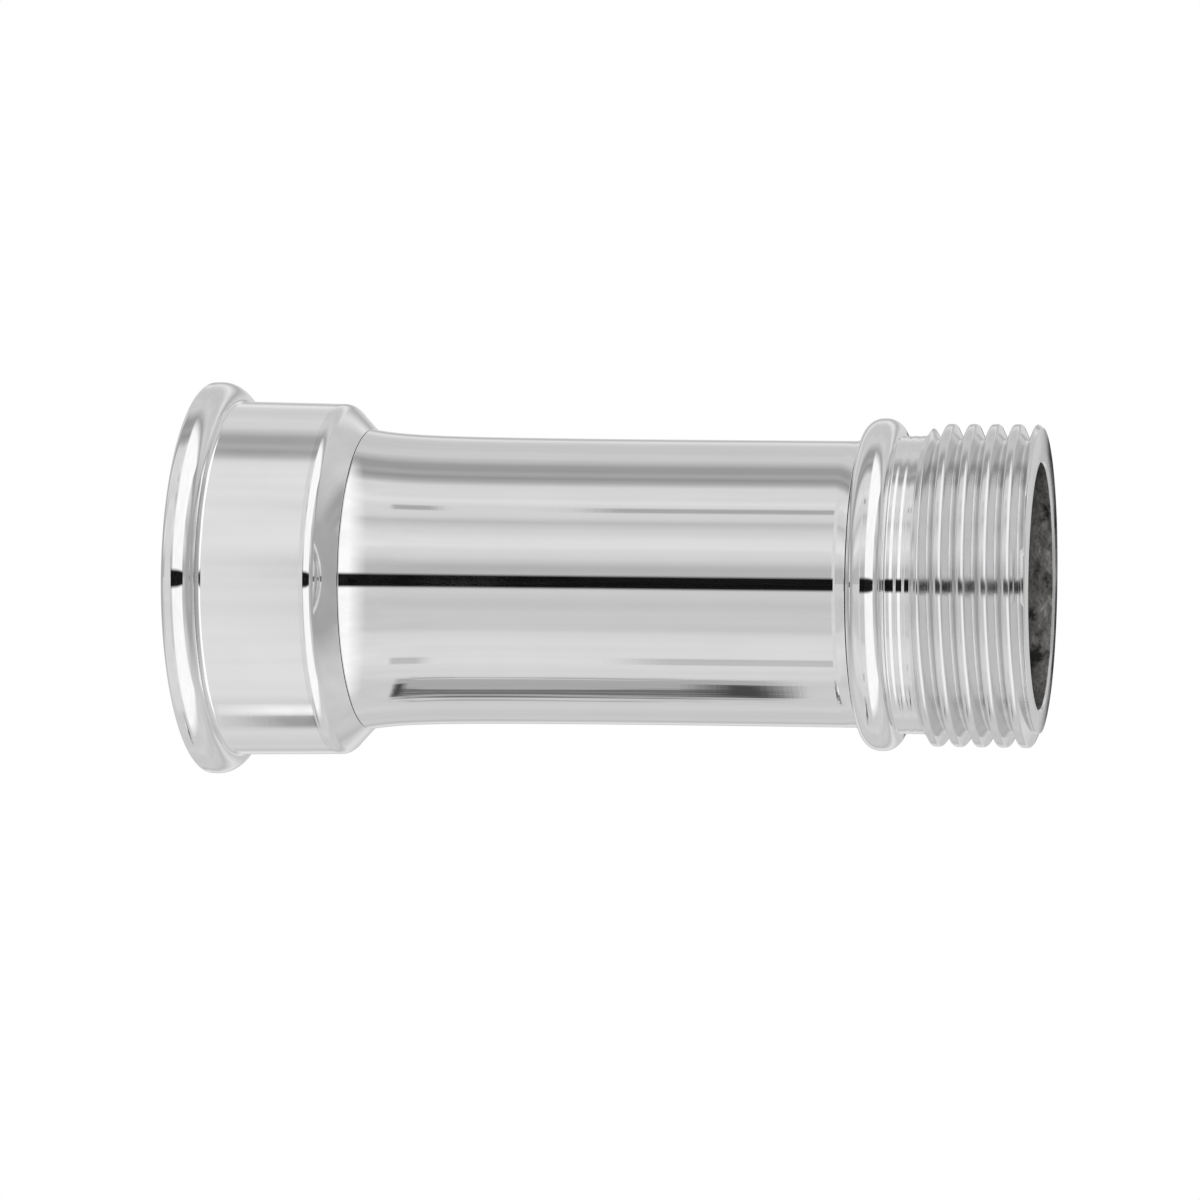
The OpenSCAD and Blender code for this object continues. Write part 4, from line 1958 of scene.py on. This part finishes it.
@dataclass
class Studio:
    """Plain white room of soft panels and dark cards, a pale floor and the camera.

    Attributes:
        upper: Brightness over the top, as (angle, tone), from the front to the back.
        lower: Brightness under the bottom, in the same way.
        cards: The cards in front of the panels.
        ends: Tone of the room beyond the fitting's ends.
        gap_x: Reach of the dark gap between the front panels, along the fitting.
        gap_z: Its lower and upper edges.
        gap_y: How far in front it stands.
        floor_z: Height of the floor.
        floor_half: Half of the floor's width.
        eye: Place of the camera.
        aim: Point that the camera looks at.
        roll: Turn of the camera about its line of sight, in degrees.
        lens: Focal length.
        sensor: Width of the sensor.
    """

    upper: tuple[tuple[float, float], ...] = (
        (0, 184), (11, 183), (14.4, 196), (17.6, 208), (24, 216), (27.4, 228), (34, 223),
        (40.7, 209), (44.2, 199), (47.7, 189), (51.2, 208), (58, 210), (62, 214),
        (65.8, 226), (70, 220), (81, 213), (86, 170), (90.5, 148), (95, 168), (100, 155),
        (105, 157), (110.5, 183), (116, 203), (122, 205), (130, 198), (146, 200),
        (154, 224), (163, 172), (170, 206), (180, 200),
    )
    lower: tuple[tuple[float, float], ...] = (
        (0, 205), (9, 205), (16, 198), (39, 203), (43, 215), (60, 221), (72, 217),
        (81, 215), (85, 209), (90, 205), (115, 206), (122, 209), (129, 201), (146, 200),
        (153, 186), (162, 222), (170, 196), (180, 198),
    )
    cards: tuple[Card, ...] = (
        Card((-110, -85), (-0.21, -0.1535), 172, 2.5, 0.008, 5.0),
        Card((-106, -98), (-0.21, -0.1535), 112, 3.0, 0.008, 5.0),
        Card((-105, -90), (-0.167, -0.1535), 68, 3.0, 0.01, 3.0),
        Card((57, 61), (-0.184, -0.138), 168, 1.4, 0.008),
        Card((-70, -64), (-0.178, -0.138), 188, 1.6, 0.01),
        Card((-82, 72), (-0.34, -0.21), 214, 12.0, 0.008, 4.0),
        Card((-100, -91.5), (-0.2363, -0.21), 250, 3.0, 0.01, 2.0),
        Card((-115, -100.5), (-0.2363, -0.21), 125, 4.0, 0.01, 3.0),
        Card((176, 190), (-0.4, 0.085), 25, 1.5, 0.015),
        Card((-190, -176), (-0.4, 0.085), 25, 1.5, 0.015),
        Card((-100, 100), (-0.01, 1.25), 253, 12.0, 0.1),
    )
    ends: float = 166.0
    gap_x: tuple[float, float] = (-58.0, 600.0)
    gap_z: tuple[float, float] = (-50.0, 40.0)
    gap_y: float = -430.0
    floor_z: float = -450.0
    floor_half: float = 3000.0
    eye: tuple[float, float, float] = (113.7, -418.0, 0.0)
    aim: tuple[float, float, float] = (33.2, 0.0, -1.52)
    roll: float = 0.6
    lens: float = 153.9
    sensor: float = 36.0

    def room(self) -> None:
        """Makes the world: panels and cards for the chrome, plain white for the rest."""
        world = bpy.data.worlds.new("studio_room")
        world.use_nodes = True
        world.node_tree.nodes.clear()
        bpy.context.scene.world = world
        sketch = Sketch(world.node_tree)
        place = sketch.add("TexCoord").outputs["Generated"]
        parts = sketch.add("SeparateXYZ", Vector=place)
        x, y, z = parts.outputs
        front = sketch.maths("MULTIPLY", y, -1.0)
        turn = sketch.maths("DEGREES", sketch.maths("ARCTAN2", z, front))
        away = sketch.maths(
            "SQRT",
            sketch.maths("ADD", sketch.maths("MULTIPLY", y, y), sketch.maths("MULTIPLY", z, z)),
        )
        lean = sketch.maths("DIVIDE", x, sketch.maths("MAXIMUM", away, 0.001))
        wander = sketch.add(
            "TexNoise", Vector=place, Scale=26.0, Detail=3.0, Roughness=0.6
        ).outputs["Fac"]
        wander = sketch.spread(wander, 0.25, 0.75, -1.0, 1.0)

        mottle = sketch.add(
            "TexNoise", Vector=place, Scale=5.0, Detail=4.0, Roughness=0.6
        ).outputs["Fac"]
        over = self.panels(sketch, turn, self.upper)
        under = self.panels(sketch, sketch.maths("MULTIPLY", turn, -1.0), self.lower)
        tone = self.either(sketch, sketch.maths("LESS_THAN", turn, 0.0), over, under)
        for card in self.cards:
            share = self.share(sketch, card, turn, lean, wander)
            tone = self.either(sketch, share, tone, grey(card.tone))
        beyond = sketch.spread(sketch.maths("ABSOLUTE", lean), 1.2, 3.0, 0.0, 1.0)
        tone = self.either(sketch, beyond, tone, grey(self.ends))
        mirrored = sketch.add("Background", Color=tone)
        glow = sketch.spread(mottle, 0.3, 0.7, 1.1, 1.22)
        sketch.feed(mirrored.inputs["Strength"], glow)
        plain = sketch.add("Background", Color=(1, 1, 1, 1), Strength=1.0)
        seen = sketch.add("LightPath").outputs["Is Camera Ray"]
        mix = sketch.add("MixShader")
        for socket, value in zip(mix.inputs, (seen, mirrored.outputs[0], plain.outputs[0])):
            sketch.feed(socket, value)
        sketch.add("OutputWorld", Surface=mix.outputs[0])

    def panels(
        self, sketch: Sketch, turn: bpy.types.NodeSocket, table: Sequence[tuple[float, float]]
    ) -> bpy.types.NodeSocket:
        """Brightness of the panels over a half circle.

        Args:
            sketch: The world's node sketch.
            turn: Angle from the front, in degrees.
            table: Pairs of angle and tone.

        Returns:
            The colour.
        """
        share = sketch.maths("DIVIDE", turn, 180.0, clamp=True)
        node = sketch.add("ValToRGB", Fac=share)
        stops = node.color_ramp.elements
        for k, (angle, tone) in enumerate(table):
            stop = stops[k] if k < 2 else stops.new(angle / 180)
            stop.position = angle / 180
            stop.color = (*grey(tone), 1)
        return node.outputs["Color"]

    def either(
        self,
        sketch: Sketch,
        share: bpy.types.NodeSocket,
        one: object,
        other: object,
    ) -> bpy.types.NodeSocket:
        """Mixes two colours, each a socket or a plain colour."""
        node = sketch.add("Mix", {"data_type": "RGBA"})
        sketch.feed(node.inputs[0], share)
        for socket, value in ((node.inputs[6], one), (node.inputs[7], other)):
            sketch.feed(socket, (*value, 1) if isinstance(value, tuple) else value)
        return node.outputs[2]

    def share(
        self,
        sketch: Sketch,
        card: Card,
        turn: bpy.types.NodeSocket,
        lean: bpy.types.NodeSocket,
        wander: bpy.types.NodeSocket,
    ) -> bpy.types.NodeSocket:
        """How much of a card shows in each direction, from 0 to 1."""
        if card.ragged:
            turn = sketch.maths("MULTIPLY_ADD", wander, card.ragged, turn)
        edges = [
            (turn, card.turn[0], card.soft_turn, True),
            (turn, card.turn[1], card.soft_turn, False),
            (lean, card.lean[0], card.soft_lean, True),
            (lean, card.lean[1], card.soft_lean, False),
        ]
        share: object = 1.0
        for value, place, soft, rising in edges:
            low, high = place - soft / 2, place + soft / 2
            side = (0.0, 1.0) if rising else (1.0, 0.0)
            share = sketch.maths("MULTIPLY", share, sketch.spread(value, low, high, *side))
        return share

    def floor(self) -> bpy.types.Object:
        """Makes the pale floor, which the chrome doesn't mirror."""
        half, z = self.floor_half, self.floor_z
        corners = [(-half, -half, z), (half, -half, z), (half, half, z), (-half, half, z)]
        obj = mesh_object("studio_floor", np.array(corners), [(0, 1, 2, 3)])
        obj.data.materials.append(FLOOR_PAINT.material())
        obj.visible_glossy = False
        return obj

    def slot(self) -> bpy.types.Object:
        """Makes the dark gap between the front panels, which only the chrome shows."""
        (x0, x1), (z0, z1), y = self.gap_x, self.gap_z, self.gap_y
        corners = [(x0, y, z0), (x1, y, z0), (x1, y, z1), (x0, y, z1)]
        obj = mesh_object("studio_gap", np.array(corners), [(0, 1, 2, 3)])
        obj.data.materials.append(GAP.material())
        obj.visible_camera = False
        obj.visible_diffuse = False
        obj.visible_shadow = False
        return obj

    def camera(self) -> bpy.types.Object:
        """Makes the camera."""
        data = bpy.data.cameras.new("studio_camera")
        data.lens, data.sensor_width = self.lens, self.sensor
        data.clip_start, data.clip_end = 0.01, 20.0
        obj = bpy.data.objects.new("studio_camera", data)
        bpy.context.scene.collection.objects.link(obj)
        eye, aim = Vector(self.eye) * MM, Vector(self.aim) * MM
        look = (aim - eye).to_track_quat("-Z", "Y").to_matrix().to_4x4()
        roll = Matrix.Rotation(math.radians(self.roll), 4, "Z")
        obj.matrix_world = Matrix.Translation(eye) @ look @ roll
        bpy.context.scene.camera = obj
        return obj

    def build(self) -> None:
        """Makes the room, the floor and the camera."""
        self.room()
        self.floor()
        self.slot()
        self.camera()
        bpy.context.scene.view_settings.view_transform = "Standard"


def main() -> None:
    """Builds every piece, the studio and the camera."""
    logging.basicConfig(level=logging.INFO, format="%(levelname)s %(message)s")
    Studio().build()
    CouplingNut().build()
    Barrel().build()
    OutletNipple().build()
    SealRing("nipple_seal_ring", "nipple_o_ring", 54.15, 10.4, 0.43).build()
    Swivel().build()
    seal = InletSeal()
    seal.washer()
    seal.strainer()
    Spacer().build()
    for side, x in ((Side.UPSTREAM, 12.1), (Side.DOWNSTREAM, 30.6)):
        CheckValve(side, x).build()
    log.info("sizes written")


if __name__ == "__main__":
    main()
